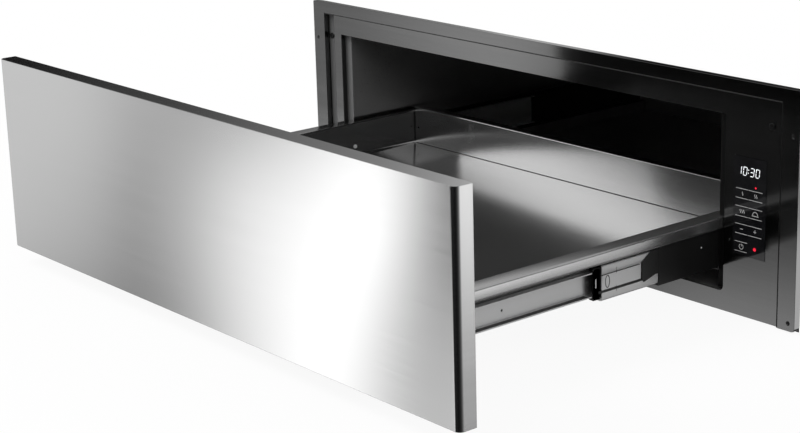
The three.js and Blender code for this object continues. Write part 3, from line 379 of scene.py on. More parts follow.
def make_piece(name, shape, finish, body, stands_for=(), along="X", edge=0.0, edge_steps=2, smooth=34):
    """Turns a shape into a piece: grain map, smooth shading up to an angle, broken edges and body."""
    lay_grain(shape, along)
    mesh = as_mesh(name, shape)
    mesh.uv_layers[0].name = "grain"
    mesh.materials.append(finish)
    mesh.shade_smooth()
    mesh.set_sharp_from_angle(angle=math.radians(smooth))
    made = link_object(name, mesh)
    if edge:
        breaking = made.modifiers.new("broken_edges", "BEVEL")
        breaking.width = edge
        breaking.segments = edge_steps
        breaking.limit_method = "ANGLE"
        breaking.angle_limit = math.radians(40)
        breaking.harden_normals = True
    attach(made, body)
    if stands_for:
        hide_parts(*stands_for)
    return made


def add_block(shape, low, high):
    """Box between two corners."""
    low, high = Vector(low), Vector(high)
    made = bmesh.ops.create_cube(shape, size=1)["verts"]
    bmesh.ops.scale(shape, verts=made, vec=high - low)
    bmesh.ops.translate(shape, verts=made, vec=(low + high) / 2)
    return made


def soften(shape, edges, radius, steps):
    """Rounds edges of a shape."""
    bmesh.ops.bevel(shape, geom=edges, offset=radius, segments=steps, profile=0.5,
                    affect="EDGES", material=-1)


def face_out(shape):
    bmesh.ops.recalc_face_normals(shape, faces=shape.faces)


brushed_steel = brushed_finish("brushed_steel", 0.64, 0.68, (0.13, 0.17), 0.75)
skin_low, skin_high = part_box("front_skin")
shape = bmesh.new()
add_block(shape, skin_low, skin_high)
bmesh.ops.delete(shape, geom=[side for side in shape.faces if side.normal.y > 0.9], context="FACES_ONLY")
middle = (skin_low.y + skin_high.y) / 2
corners = [edge for edge in shape.edges if edge.verts[0].co.y < middle
           and abs(edge.verts[0].co.z - edge.verts[1].co.z) > 1 * mm]
soften(shape, corners, skin_corner, 10)
bmesh.ops.solidify(shape, geom=shape.faces[:], thickness=skin_sheet)
face_out(shape)
make_piece("front_skin_sheet", shape, brushed_steel, "drawer",
           stands_for=["front_skin"], edge=0.4 * mm, edge_steps=3)

# -------------------- inner panel, core, angle and screws of the front
# A dark enamelled steel panel closes the tray from behind over a stiff fibre core. A zinc coated angle under
# the pan and two pan head screws tie the front to the pan.

spangle, spangle_warp = 55, 0.006
head_height, head_round, shank_size = 1.6 * mm, 1.0 * mm, 3.6 * mm
cross_reach, cross_width, cross_depth = 1.9 * mm, 0.75 * mm, 0.9 * mm


def add_place(tree):
    """Place on the piece, in metres."""
    return add_node(tree, "TexCoord").outputs["Object"]


def speckled_finish(name, dark, light, rough, metallic=0.0, scale=900, relief=0.00006, strength=0.3):
    """Even finish with a fine grain and slow patches: mouldings, enamel, plating and board."""
    finish, tree, shader = new_finish(name, Metallic=metallic)
    place = add_place(tree)
    grain = add_noise(tree, place, scale, 2, 0.6)
    patches = add_noise(tree, place, 14, 4, 0.6)
    dress(tree, shader, add_blend(tree, grain, patches, 0.5), dark, light, rough)
    add_relief(tree, shader, grain, strength, relief)
    return finish


galvanised, tree, shader = new_finish("galvanised", Metallic=0.85)
place = add_place(tree)
warp = add_vector(tree, "MULTIPLY", add_noise(tree, place, 30, 2, output="Color"), (spangle_warp,) * 3)
warped = add_vector(tree, "ADD", place, warp)
cells = add_node(tree, "TexVoronoi", {"Vector": warped, "Scale": spangle})
crystal = add_node(tree, "SeparateXYZ", {0: cells.outputs["Color"]}).outputs["X"]
tone = add_blend(tree, crystal, add_noise(tree, place, 9, 5, 0.6), 0.55)
dress(tree, shader, tone, 0.34, 0.56, (0.34, 0.52), reach=(0.2, 0.8), gloss_reach=(0, 1))
add_relief(tree, shader, crystal, 0.25, 0.00008)
zinc = speckled_finish("zinc", 0.90, 0.97, (0.46, 0.56), metallic=1.0, scale=1500,
                       relief=0.00002, strength=0.2)
fibre = speckled_finish("fibre_core", (0.46, 0.42, 0.34), (0.62, 0.58, 0.50), (0.85, 0.95),
                        scale=500, relief=0.0004)


def finish_node(finish, *names):
    """Gives CAD nodes whose shape is right their finish."""
    for name in names:
        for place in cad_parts[name].material_slots:
            place.material = finish


def add_cylinder(shape, start, end, diameter, steps=24):
    """Rod from start to end."""
    start, end = Vector(start), Vector(end)
    turn = (end - start).to_track_quat("Z", "Y").to_matrix().to_4x4()
    return bmesh.ops.create_cone(
        shape, cap_ends=True, segments=steps, radius1=diameter / 2, radius2=diameter / 2,
        depth=(end - start).length, matrix=Matrix.Translation((start + end) / 2) @ turn,
    )["verts"]


def evaluated(piece):
    """Mesh of a piece with its modifiers applied."""
    bpy.context.view_layer.update()
    depsgraph = bpy.context.evaluated_depsgraph_get()
    return bpy.data.meshes.new_from_object(piece.evaluated_get(depsgraph))


def take_mesh(shape, mesh):
    """Adds a mesh to a shape and removes the mesh."""
    shape.from_mesh(mesh)
    bpy.data.meshes.remove(mesh)


def carve(shape, tools):
    """Cuts the tools out of a closed shape and returns the new shape."""
    pair = [link_object("blank", as_mesh("blank", part)) for part in (shape, tools)]
    cutting = pair[0].modifiers.new("cut", "BOOLEAN")
    cutting.operation = "DIFFERENCE"
    cutting.solver = "EXACT"
    cutting.object = pair[1]
    cutting.use_self = True
    carved = bmesh.new()
    take_mesh(carved, evaluated(pair[0]))
    for made in pair:
        blank = made.data
        bpy.data.objects.remove(made)
        bpy.data.meshes.remove(blank)
    return carved


def screw_shape(node, ahead):
    """Pan head screw in place of a node whose head is at its low Y end (ahead -1) or high Y end (ahead 1)."""
    low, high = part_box(node)
    centre = (low + high) / 2
    tail, head_y = (low.y, high.y)[::ahead]
    under = head_y - ahead * head_height
    shape = bmesh.new()
    add_cylinder(shape, (centre.x, under, centre.z), (centre.x, head_y, centre.z), high.x - low.x, 32)
    crown = [edge for edge in shape.edges if all(abs(vert.co.y - head_y) < 1e-6 for vert in edge.verts)]
    soften(shape, crown, head_round, 5)
    tools = bmesh.new()
    ys = sorted((head_y + ahead * mm, head_y - ahead * cross_depth))
    for across, along in ((cross_reach, cross_width / 2), (cross_width / 2, cross_reach)):
        add_block(tools, (centre.x - across, ys[0], centre.z - along),
                  (centre.x + across, ys[1], centre.z + along))
    shape = carve(shape, tools)
    root = under + ahead * 0.05 * mm
    add_cylinder(shape, (centre.x, root, centre.z), (centre.x, tail, centre.z), shank_size, 20)
    face_out(shape)
    return shape


cavity_steel = speckled_finish("cavity_steel", 0.34, 0.40, (0.26, 0.34), metallic=0.64, scale=800)
dark_enamel = speckled_finish("dark_enamel", 0.016, 0.024, (0.30, 0.38), scale=800)
finish_node(galvanised, "front_angle")
finish_node(dark_enamel, "front_inner_panel")
finish_node(fibre, "front_core")
for side in ("left", "right"):
    node = f"front_screw_{side}"
    make_piece(f"{node}_head", screw_shape(node, 1), zinc, "drawer", stands_for=[node])

# -------------------- drawer pan
# One stainless sheet folded into floor, walls, flanges over the rails and curled skirts. The end walls are
# welded in, and the back wall turns over into a flange with a short lip. The floor and the right flange are
# duller than the walls.

pan_sheet = 1 * mm
pan_centre = -26.2 * mm
pan_edge = 303.5 * mm
flange_width = 19.5 * mm
pan_half = pan_edge - flange_width
pan_left, pan_right = pan_centre - pan_half, pan_centre + pan_half
pan_rim = 96.5 * mm
pan_floor = 55.5 * mm
skirt_foot, skirt_curl = pan_rim - 13.1 * mm, 5 * mm
pan_front = -702.3 * mm
pan_back = pan_front + 510.45 * mm
back_reach, back_lip, back_bend = 12.7 * mm, 5.5 * mm, 1.5 * mm
back_rim = pan_rim + 5 * mm
seam_gap, flange_gap = 0.5 * mm, 0.2 * mm
rim_dulling, rim_scatter = 0.12, 0.048


def new_verts(made):
    """Vertices that an extrusion made."""
    return [item for item in made["geom"] if isinstance(item, bmesh.types.BMVert)]


def add_fold(shape, line, bends, sheet, span, axis="Y", steps=6):
    """Folded sheet: line is its outer face in the plane across the axis, bends the radius at each corner."""
    def spot(a, b):
        return Vector((span[0], a, b) if axis == "X" else (a, span[0], b))
    strip = bmesh.new()
    verts = [strip.verts.new(spot(a, b)) for a, b in line]
    edges = [strip.edges.new(pair) for pair in zip(verts, verts[1:])]
    far = new_verts(bmesh.ops.extrude_edge_only(strip, edges=edges))
    shift = Vector((0, 0, 0))
    shift["XYZ".index(axis)] = span[1] - span[0]
    bmesh.ops.translate(strip, verts=far, vec=shift)
    for vert, bend in zip(verts[1:-1], bends):
        if bend:
            turn = [edge for edge in vert.link_edges
                    if abs((edge.other_vert(vert).co - vert.co).dot(shift.normalized())) > 1e-6]
            bmesh.ops.bevel(strip, geom=turn, offset=bend, offset_type="OFFSET", segments=steps, profile=0.5,
                            affect="EDGES", material=-1, clamp_overlap=False)
    start, end = spot(*line[0]), spot(*line[1])
    strip.faces.ensure_lookup_table()
    face_out(strip)
    middle = (start + end + shift) / 2
    near = min(strip.faces, key=lambda face: (face.calc_center_median() - middle).length)
    if near.normal.dot((end - start).cross(shift)) < 0:
        bmesh.ops.reverse_faces(strip, faces=strip.faces)
    bmesh.ops.solidify(strip, geom=strip.faces[:], thickness=sheet)
    face_out(strip)
    take_mesh(shape, as_mesh("strip", strip))


def add_places(tree):
    """X, Y and Z of the place on the piece."""
    return add_node(tree, "SeparateXYZ", {"Vector": add_place(tree)}).outputs


pan_steel = brushed_finish("pan_steel", 0.63, 0.68, (0.12, 0.15), 0.6)
tree = pan_steel.node_tree
shader = tree.nodes["Principled BSDF"]
places = add_places(tree)
outside = add_math(tree, "GREATER_THAN", places["X"], pan_right + 0.6 * mm)
on_floor = add_math(tree, "LESS_THAN", places["Z"], pan_floor + 1.2 * mm)
scatter = add_math(tree, "MULTIPLY", add_math(tree, "MAXIMUM", outside, on_floor), rim_scatter)
tree.links.new(add_math(tree, "SUBTRACT", 1, scatter), shader.inputs["Metallic"])
gloss = shader.inputs["Roughness"].links[0].from_socket
dulling = add_math(tree, "MULTIPLY", outside, rim_dulling)
tree.links.new(add_math(tree, "ADD", gloss, dulling), shader.inputs["Roughness"])
half_line = [(pan_edge - skirt_curl, skirt_foot), (pan_edge, skirt_foot), (pan_edge, pan_rim),
             (pan_half, pan_rim), (pan_half, pan_floor)]
half_bends = [3.8 * mm, 2.2 * mm, 1.2 * mm, 3 * mm]
shape = bmesh.new()
left_line = [(pan_centre - x, z) for x, z in half_line]
right_line = [(pan_centre + x, z) for x, z in half_line[::-1]]
add_fold(shape, left_line + right_line, half_bends + half_bends[::-1], pan_sheet,
         (pan_front, pan_back + pan_sheet))
add_block(shape, (pan_left, pan_front, pan_floor),
          (pan_right, pan_front + pan_sheet, pan_rim - 1 * mm))
add_fold(shape, [
    (pan_back + back_reach, back_rim - back_lip), (pan_back + back_reach, back_rim), (pan_back, back_rim),
    (pan_back, pan_floor + seam_gap),
], [back_bend] * 2, pan_sheet, (pan_left + seam_gap, pan_right - seam_gap), axis="X")
for side in (-1, 1):
    span = sorted((pan_centre + side * (pan_half + flange_gap), pan_centre + side * pan_edge))
    add_fold(shape, [
        (pan_back + back_reach, pan_rim - back_lip), (pan_back + back_reach, pan_rim),
        (pan_back + pan_sheet + flange_gap, pan_rim),
    ], [back_bend], pan_sheet, span, axis="X")
make_piece("drawer_pan_sheet", shape, pan_steel, "drawer",
           stands_for=["drawer_pan"], edge=0.2 * mm)
finish_node(zinc, "drawer_striker")

# -------------------- pan rivets and plug
# Six nickel plated blind rivets hold the inner rails to the walls of the pan, with the dome inside. A dark
# plug fills a hole of the back wall, and a near-black strip in its left corner is painted shade in the seam.

rivet_ys = [pan_front + place * mm for place in (137.75, 276.25, 414.75)]
rivet_z = 66.9 * mm
rivet_dome, rivet_rise, rivet_round = 5 * mm, 1.3 * mm, 0.9 * mm
rivet_bore, rivet_shank, rivet_grip = 1.2 * mm, 3.4 * mm, 1.9 * mm
plug_x, plug_z, plug_size = -303 * mm, 75.6 * mm, 2.8 * mm
rivet_finish = speckled_finish("rivet_nickel", 0.78, 0.88, (0.34, 0.44), metallic=0.25,
                               scale=1500, relief=0.00002)
for side, suffix in ((-1, "left"), (1, "right")):
    shape = bmesh.new()
    inner = pan_centre + side * (pan_half - 0.02 * mm)
    outer = pan_centre + side * (pan_half + rivet_grip)
    crown = inner - side * rivet_rise
    for y in rivet_ys:
        add_cylinder(shape, (inner, y, rivet_z), (crown, y, rivet_z), rivet_dome, 28)
        rim = [edge for edge in shape.edges if all(abs(vert.co.x - crown) < 1e-6 for vert in edge.verts)]
        soften(shape, rim, rivet_round, 4)
        cap = max((face for face in shape.faces if abs(face.calc_center_median().y - y) < 1e-4),
                  key=lambda face: face.calc_center_median().x * -side)
        flat = (rivet_dome - rivet_bore) / 2 - rivet_round
        bmesh.ops.inset_individual(shape, faces=[cap], thickness=flat)
        bmesh.ops.translate(shape, verts=cap.verts, vec=(side * rivet_round, 0, 0))
        add_cylinder(shape, (inner, y, rivet_z), (outer, y, rivet_z), rivet_shank, 20)
    face_out(shape)
    make_piece(f"pan_rivets_{suffix}", shape, rivet_finish, "drawer")
shape = bmesh.new()
add_cylinder(shape, (plug_x, pan_back - 0.05 * mm, plug_z), (plug_x, pan_back + 1.2 * mm, plug_z),
             plug_size, 20)
# Near-black strip in the back left corner: painted shade in the seam between the back and side walls.
add_block(shape, (pan_left - 0.1 * mm, pan_back - 0.8 * mm, pan_floor + 4 * mm),
          (pan_left + 0.8 * mm, pan_back + 0.3 * mm, pan_rim - 2 * mm))
plug_and_seam_shade = speckled_finish("plug_and_seam_shade", 0.004, 0.008, (0.5, 0.6), scale=1200)
make_piece("pan_back_plug_and_seam_shade", shape, plug_and_seam_shade, "drawer")

# -------------------- telescopic slides
# Zinc coated rails, one in another, whose bent lips form the races. Black plastic cages hold the steel balls,
# and the outer cage ends in front in a finger that is cut to a point. The slides are drawn on the right and
# mirrored. In millimetres, u is out from the pan's wall and a height is over slide_z.

slide_z = 62.2 * mm
wall_x = 285.0 * mm
race_sheet, rail_sheet, cage_sheet = 1.4 * mm, 1.2 * mm, 0.7 * mm
web_u = 10.5
ring_y, ring_height, ring_halves = 8.2, 0.3, (3.1, 6.5)
hole_place, hole_z, hole_size = 133.5 * mm, 61.6 * mm, 2.4 * mm
stud_y, stud_z = -306.5 * mm, 68 * mm
outer_race, inner_race = 19.775, 14.55
rail_front, outer_front, inner_front = (
    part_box(f"{node}_right")[0].y for node in ("inner_rail", "outer_cage", "inner_cage")
)


def slide_x(u):
    return pan_centre + wall_x + u * mm


def slide_block(shape, us, ys, heights):
    low, high = ((slide_x(u), y, slide_z + height * mm) for u, y, height in zip(us, ys, heights))
    add_block(shape, low, high)


def slide_rod(shape, us, y, z, size, steps=20):
    add_cylinder(shape, (slide_x(us[0]), y, z), (slide_x(us[1]), y, z), size, steps)


def add_channel(shape, root, tip, half, sheet, ys, bend=2 * mm, steps=5, grooves=()):
    """Channel with its web at root and lips out to tip. Grooves of the web are (height, depth)."""
    away = 1 if root > tip else -1
    top, foot = slide_z + half * mm, slide_z - half * mm
    web = [(slide_x(root - away * depth), slide_z + height * mm) for height, depth in grooves]
    line = [(slide_x(tip), top), (slide_x(root), top), *web, (slide_x(root), foot), (slide_x(tip), foot)]
    add_fold(shape, line[::away], [bend, *([0] * len(web)), bend], sheet, ys, steps=steps)


def to_left(shape):
    """Mirrors the right slide's shape to the left."""
    bmesh.ops.scale(shape, verts=shape.verts, vec=(-1, 1, 1), space=Matrix.Translation((-pan_centre, 0, 0)))
    face_out(shape)
    return shape


def add_ring(shape, front, wall, us):
    """Elliptical ring on the web of the middle rail whose front end is given."""
    ring = bmesh.new()
    for vert in bmesh.ops.create_circle(ring, segments=32, radius=1, cap_ends=False)["verts"]:
        vert.co = Vector((slide_x(us[0]), front + (ring_y + vert.co.x * ring_halves[0]) * mm,
                          slide_z + (ring_height + vert.co.y * ring_halves[1]) * mm))
    grown = new_verts(bmesh.ops.extrude_edge_only(ring, edges=ring.edges[:]))
    bmesh.ops.translate(ring, verts=grown, vec=((us[1] - us[0]) * mm, 0, 0))
    face_out(ring)
    bmesh.ops.solidify(ring, geom=ring.faces[:], thickness=wall)
    face_out(ring)
    take_mesh(shape, as_mesh("ring", ring))


def inner_rail():
    """Channel with a round hole and a small hook shaped hole."""
    low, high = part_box("inner_rail_right")
    shape = bmesh.new()
    add_channel(shape, 0, 8.2, 12.4, rail_sheet, (low.y, high.y))
    tools = bmesh.new()
    slide_rod(tools, (-1, 3), low.y + hole_place, hole_z, hole_size)
    hook = low.y + 243.5 * mm
    for offset, height, long, tall in ((0, 2.2, 2.6, 0.8), (1.0, 0, 0.8, 5.2), (0, -2.2, 2.6, 0.8)):
        slide_block(tools, (-1, 3), (hook + (offset - long / 2) * mm, hook + (offset + long / 2) * mm),
                    (height - tall / 2, height + tall / 2))
    return carve(shape, tools)


def middle_rail():
    """Channel whose web is sunk between two heights, with a ring and two notches cut in it."""
    low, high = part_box("middle_rail_right")
    shape = bmesh.new()
    add_channel(shape, web_u, 2.6, 18.1, rail_sheet, (low.y, high.y),
                grooves=[(9.6, 0), (9.3, 0.2), (-8.0, 0.2), (-8.4, 0)])
    tools = bmesh.new()
    add_ring(tools, low.y, 0.75 * mm, (web_u - 1.15, web_u + 1))
    for height in (9.2, -8.9):
        slide_block(tools, (web_u - 0.9, web_u + 1), (low.y + 19.8 * mm, low.y + 20.5 * mm),
                    (height - 3.1, height + 3.1))
    return carve(shape, tools)


def middle_shade_strips():
    """Black strips on the web painted in for the shade of its grooves, thin above, thick below, and a ring.
    """
    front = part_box("middle_rail_right")[0].y
    shape = bmesh.new()
    for first, last, foot, top in ((0, 52, 7.5, 8.3), (-4, 58, -9.8, -7.2)):
        slide_block(shape, (web_u - 0.6, web_u + 0.02), (front + first * mm, front + last * mm), (foot, top))
    add_ring(shape, front, 0.6 * mm, (web_u - 0.6, web_u - 0.12))
    return shape


def outer_rail():
    """Channel with a stop formed at its back."""
    low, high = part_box("outer_rail_right")
    shape = bmesh.new()
    add_channel(shape, 12.7, 4.5, 22.85, race_sheet, (low.y, high.y))
    slide_block(shape, (6.7, 11.31), (high.y - 1.4 * mm, high.y), (-9, 9))
    return shape


def ball_rows(front, length, u, race, size):
    """Two rows of six balls along a cage."""
    shape = bmesh.new()
    for i in range(6):
        y = front + 14 * mm + i * (length - 28 * mm) / 5
        for row in (-1, 1):
            bmesh.ops.create_uvsphere(shape, u_segments=16, v_segments=10, radius=size / 2,
                                      matrix=Matrix.Translation((slide_x(u), y, slide_z + row * race * mm)))
    return shape


def outer_cage():
    """Strip with two flanges. Its front is the finger, a plate with a slanted top and a point below."""
    low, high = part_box("outer_cage_right")
    shape = bmesh.new()
    body = low.y + 23.6 * mm
    add_channel(shape, 11.27, 4.75, outer_race + 0.4, cage_sheet, (body, high.y), bend=0.9 * mm, steps=3)
    outline = ((24.6, 80.5), (12.5, 80.5), (0, 71.5), (0, 54.8), (3, 50.6), (19, 55.2), (24.6, 55.2))
    plate = shape.faces.new([shape.verts.new((slide_x(10.68), low.y + y * mm, z * mm)) for y, z in outline])
    grown = new_verts(bmesh.ops.extrude_face_region(shape, geom=[plate]))
    bmesh.ops.translate(shape, verts=grown, vec=(0.44 * mm, 0, 0))
    slide_rod(shape, (11, 11.24), -358.5 * mm, 62.4 * mm, 2.4 * mm, 16)
    for y, size in ((-325.5 * mm, 2.4 * mm), (-317.5 * mm, 2.4 * mm), (stud_y, 3.4 * mm)):
        slide_rod(shape, (11, 11.24), y, stud_z, size, 16)
    face_out(shape)
    return shape


def inner_cage():
    """Strip with two flanges and a moulded block with two feet at the front."""
    low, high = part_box("inner_cage_right")
    shape = bmesh.new()
    add_channel(shape, 9.0, 2.75, inner_race + 0.4, cage_sheet, (low.y, high.y), bend=0.9 * mm, steps=3)
    slide_block(shape, (8.35, 9.0), (low.y, low.y + 9.6 * mm), (-15.6, 15.6))
    for height in (-15.9, 12.9):
        slide_block(shape, (3.2, 9.0), (low.y + 1 * mm, low.y + 8.6 * mm), (height, height + 3))
    return shape


zinc_bright = speckled_finish("zinc_bright", 0.70, 0.78, (0.22, 0.30), metallic=1.0,
                              scale=1500, relief=0.00002)
black_zinc = speckled_finish("black_zinc", 0.030, 0.045, (0.30, 0.40), metallic=0.8,
                             scale=1500, relief=0.00002)
black_plastic = speckled_finish("black_plastic", 0.006, 0.013, (0.34, 0.46), scale=1200, relief=0.00008)
for turn, suffix in ((lambda shape: shape, "right"), (to_left, "left")):
    for make, node, body, finish in ((inner_rail, "inner_rail", "drawer", zinc),
                                     (middle_rail, "middle_rail", f"{suffix}_middle", zinc),
                                     (outer_rail, "outer_rail", "housing", black_zinc)):
        make_piece(f"{node}_sheet_{suffix}", turn(make()), finish, body,
                   stands_for=[f"{node}_{suffix}"], along="Y", edge=0.15 * mm)
    make_piece(f"middle_shade_strips_{suffix}", turn(middle_shade_strips()), black_plastic, f"{suffix}_middle")
    # Painted shade: a black disc fills the inner rail's round hole for the dark seen in it, and a thin black
    # strip on the rail's lower lip paints the shade lying there.
    shade_marks = bmesh.new()
    slide_rod(shade_marks, (0, 0.6), rail_front + hole_place, hole_z, hole_size)
    slide_block(shade_marks, (1.25, 7.2), (rail_front, outer_front - 70 * mm), (-11.2, -11.05))
    make_piece(f"rail_painted_shade_{suffix}", turn(shade_marks), black_plastic, "drawer")
    for make, node in ((outer_cage, "outer_cage"), (inner_cage, "inner_cage")):
        make_piece(f"{node}_strip_{suffix}", turn(make()), black_plastic, f"{suffix}_{node}",
                   stands_for=[f"{node}_{suffix}"], along="Y", edge=0.12 * mm)
    for cage, balls in (("outer", (outer_front + 95 * mm, 180 * mm, 7.5, outer_race, 2.75 * mm)),
                        ("inner", (inner_front + 6 * mm, 218 * mm, 5.0, inner_race, 3.7 * mm))):
        make_piece(f"{cage}_balls_{suffix}", turn(ball_rows(*balls)), zinc_bright,
                   f"{suffix}_{cage}_cage")
    stud = bmesh.new()
    slide_rod(stud, (10.9, 11.28), stud_y, stud_z, 1.8 * mm, 16)
    make_piece(f"cage_stud_{suffix}", turn(stud), rivet_finish, f"{suffix}_outer_cage")
    mark = bmesh.new()
    slide_block(mark, (8.9, 9.04), (inner_front + 3.4 * mm, inner_front + 4.6 * mm), (-3.6, 5.2))
    make_piece(f"cage_mark_{suffix}", turn(mark), zinc_bright, f"{suffix}_inner_cage")
finish_node(galvanised, "rail_bracket_left", "rail_bracket_right")

# -------------------- fascia
# Dark polished stainless: a raised trim on the left, the top and the right, and a sunk plate behind it. The
# trim's right side is painted near white, a painted reflection. Painted strips edge the recess: a grey line
# for the shade at its top, a matte strip in the plate's mirrored tone on its left, a painted reflection, and
# a black line for the shadow on its right.

shade_line_z, shade_line_width, reflection_strip_width = 227.1 * mm, 0.9 * mm, 9.5 * mm


def merged_copy(node):
    """Shape of a node with its loose triangles joined and its flat faces made whole."""
    shape = bmesh.new()
    shape.from_mesh(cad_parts[node].data)
    bmesh.ops.remove_doubles(shape, verts=shape.verts, dist=0.002 * mm)
    bmesh.ops.dissolve_limit(shape, angle_limit=math.radians(0.5), verts=shape.verts, edges=shape.edges)
    return shape


trim_low, trim_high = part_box("trim_frame")
plate_low, plate_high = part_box("fascia_plate")
dark_mirror, trim_steel = (
    brushed_finish(name, 0.17, 0.21, (0.09, 0.13), 0.4, density=1.2, line_height=0.00001)
    for name in ("dark_mirror", "trim_steel")
)
tree = trim_steel.node_tree
colour = tree.nodes["Principled BSDF"].inputs["Base Color"]
# The outermost sliver of the trim's right side is painted near white: a painted reflection of the bright
# surround.
painted_edge_reflection = add_math(tree, "GREATER_THAN", add_places(tree)["X"], trim_high.x - 0.12 * mm)
tree.links.new(add_mix(tree, painted_edge_reflection, colour.links[0].from_socket, 0.98), colour)
for node, finish, edge in (("trim_frame", trim_steel, 0.3 * mm), ("fascia_plate", dark_mirror, 0.15 * mm)):
    make_piece(f"{node}_edged", merged_copy(node), finish, "housing",
               stands_for=[node], edge=edge)
for name, finish, tones, along, low, high in (
    # Grey line painted in for the shade at the recess's top edge.
    ("painted_recess_shade_line", "painted_shade_grey", (0.032, 0.042, (0.50, 0.60)), "X",
     (plate_low.x + 0.6 * mm, trim_low.y - 0.06 * mm, shade_line_z - shade_line_width / 2),
     (plate_high.x - 0.6 * mm, trim_low.y + 0.5 * mm, shade_line_z + shade_line_width / 2)),
    # Matte strip on the plate's left edge, painted in the tone the plate mirrors there: a painted reflection.
    ("painted_reflection_strip", "painted_reflection_strip", (0.12, 0.14, (0.5, 0.6)), "Z",
     (plate_low.x + 0.5 * mm, plate_low.y - 0.12 * mm, plate_low.z + 1 * mm),
     (plate_low.x + reflection_strip_width, plate_low.y + 0.1 * mm, shade_line_z)),
    # Black line painted in for the shadow where the trim's right edge meets the plate.
    ("painted_shadow_line", "painted_shadow_black", (0.004, 0.008, (0.6, 0.7)), "Z",
     (plate_high.x - shade_line_width, trim_low.y - 0.05 * mm, trim_low.z + 0.4 * mm),
     (plate_high.x, trim_low.y + 0.5 * mm, shade_line_z - shade_line_width)),
):
    shape = bmesh.new()
    add_block(shape, low, high)
    finish = speckled_finish(finish, *tones, scale=1200, relief=0.00002)
    make_piece(name, shape, finish, "housing", along=along, edge=0.05 * mm)
for side in ("left", "right"):
    node = f"fascia_screw_{side}"
    make_piece(f"{node}_head", screw_shape(node, -1), black_zinc, "housing", stands_for=[node])
silicone = speckled_finish("silicone", 0.010, 0.018, (0.6, 0.75), scale=700)
finish_node(silicone, "opening_seal_left", "opening_seal_right")
finish_node(galvanised, "front_frame")

# -------------------- display glass
# Black glass let into the plate, with a lit numeral display, two red lamps and touch keys printed in white:
# rules between the keys, heat steps as rising steam, a dish cover, minus, plus and the on symbol.

glass_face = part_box("display_glass")[0].y
ink = (glass_face - 0.04 * mm, glass_face + 0.02 * mm)
rule_width, stroke_width, digit_stroke = 0.42 * mm, 0.5 * mm, 0.68 * mm
key_left, key_right = 303.6, 320.4
digit_width, digit_height, digit_lean, digit_gap = 4.2, 8.2, 0.10, 0.35
digit_places, colon_place, digit_foot = (296.8, 303.8, 312.8, 319.6), 310.4, 145.8
segments_lit = {"1": "bc", "0": "abcdef", "3": "abcdg"}
segment_ends = {
    "a": ((0, 1), (1, 1)), "b": ((1, 0.5), (1, 1)), "c": ((1, 0), (1, 0.5)), "d": ((0, 0), (1, 0)),
    "e": ((0, 0), (0, 0.5)), "f": ((0, 0.5), (0, 1)), "g": ((0, 0.5), (1, 0.5)),
}


def add_stroke(shape, points, width):
    """Stroke on the glass through points given in millimetres across and up."""
    add_fold(shape, [(x * mm, z * mm) for x, z in points], (), width, ink)


def add_dot(shape, x, z, size, steps):
    """Round spot on the glass, in millimetres."""
    add_cylinder(shape, (x * mm, ink[1], z * mm), (x * mm, ink[0], z * mm), size * mm, steps)


def add_arc(shape, centre, radius, start, end, steps=14):
    turns = [math.radians(start + (end - start) * i / steps) for i in range(steps + 1)]
    add_stroke(shape, [(centre[0] + radius * math.cos(turn), centre[1] + radius * math.sin(turn))
                       for turn in turns], stroke_width)


def add_steam(shape, centre, count):
    """One to three rising waves."""
    for i in range(count):
        x = centre[0] + (i - (count - 1) / 2) * 2.3
        add_stroke(shape, [(x + 0.5 * math.sin(2 * math.pi * step / 10), centre[1] + 3.8 * (step / 10 - 0.5))
                           for step in range(11)], stroke_width)


def lit_finish(name, tone):
    """Lamp behind the glass: a little uneven over its face."""
    finish, tree, shader = new_finish(name, Roughness=0.3, Emission_Strength=0.9)
    dim = tuple(channel * 0.8 for channel in tone)
    colour = add_ramp(tree, add_noise(tree, add_place(tree), 900, 1), [(0.3, dim), (0.7, tone)])
    tree.links.new(colour, shader.inputs["Emission Color"])
    tree.links.new(colour, shader.inputs["Base Color"])
    return finish


glass, tree, shader = new_finish("display_glass", IOR=1.9)
smear = add_noise(tree, add_place(tree), 60, 4, 0.6)
dress(tree, shader, smear, (0.004, 0.004, 0.005), (0.009, 0.009, 0.010), (0.04, 0.09))
finish_node(glass, "display_glass")

shape = bmesh.new()
for first, last, heights in (
    (295.4, 311.0, (131.4, 121.8, 113.5, 103.5, 95.3, 85.5, 77.0, 67.3)),
    (311.9, 328.8, (131.4, 121.8, 113.5, 103.5, 95.3, 85.5)),
):
    for height in heights:
        add_stroke(shape, [(first, height), (last, height)], rule_width)
add_steam(shape, (key_left, 126.5), 1)
add_steam(shape, (key_right, 126.5), 2)
add_steam(shape, (key_left, 108.4), 3)
add_arc(shape, (key_right, 107.2), 3.0, 0, 180)
for x, z, half in ((key_right, 106.6, 4.2), (key_left, 90.4, 1.7), (key_right, 90.4, 1.7)):
    add_stroke(shape, [(x - half, z), (x + half, z)], stroke_width)
add_stroke(shape, [(key_right, 88.7), (key_right, 92.1)], stroke_width)
add_arc(shape, (key_left, 72.0), 2.3, 120, 420, 20)
add_stroke(shape, [(key_left, 72.2), (key_left, 75.0)], stroke_width)
key_print = speckled_finish("key_print", 0.60, 0.74, (0.5, 0.6), scale=1500)
make_piece("key_marks", shape, key_print, "housing")

shape = bmesh.new()
for x, numeral in zip(digit_places, "1030"):
    for segment in segments_lit[numeral]:
        ends = []
        for across, up in segment_ends[segment]:
            rise = up * digit_height
            ends.append(Vector((x + across * digit_width + rise * digit_lean, digit_foot + rise)))
        gap = (ends[1] - ends[0]).normalized() * digit_gap
        add_stroke(shape, [ends[0] + gap, ends[1] - gap], digit_stroke)
for height in (2.5, 5.6):
    add_dot(shape, colon_place + height * digit_lean, digit_foot + height, 1.0, 16)
lamp_white = lit_finish("display_white", (0.9, 0.92, 0.95))
make_piece("display_digits", shape, lamp_white, "housing")

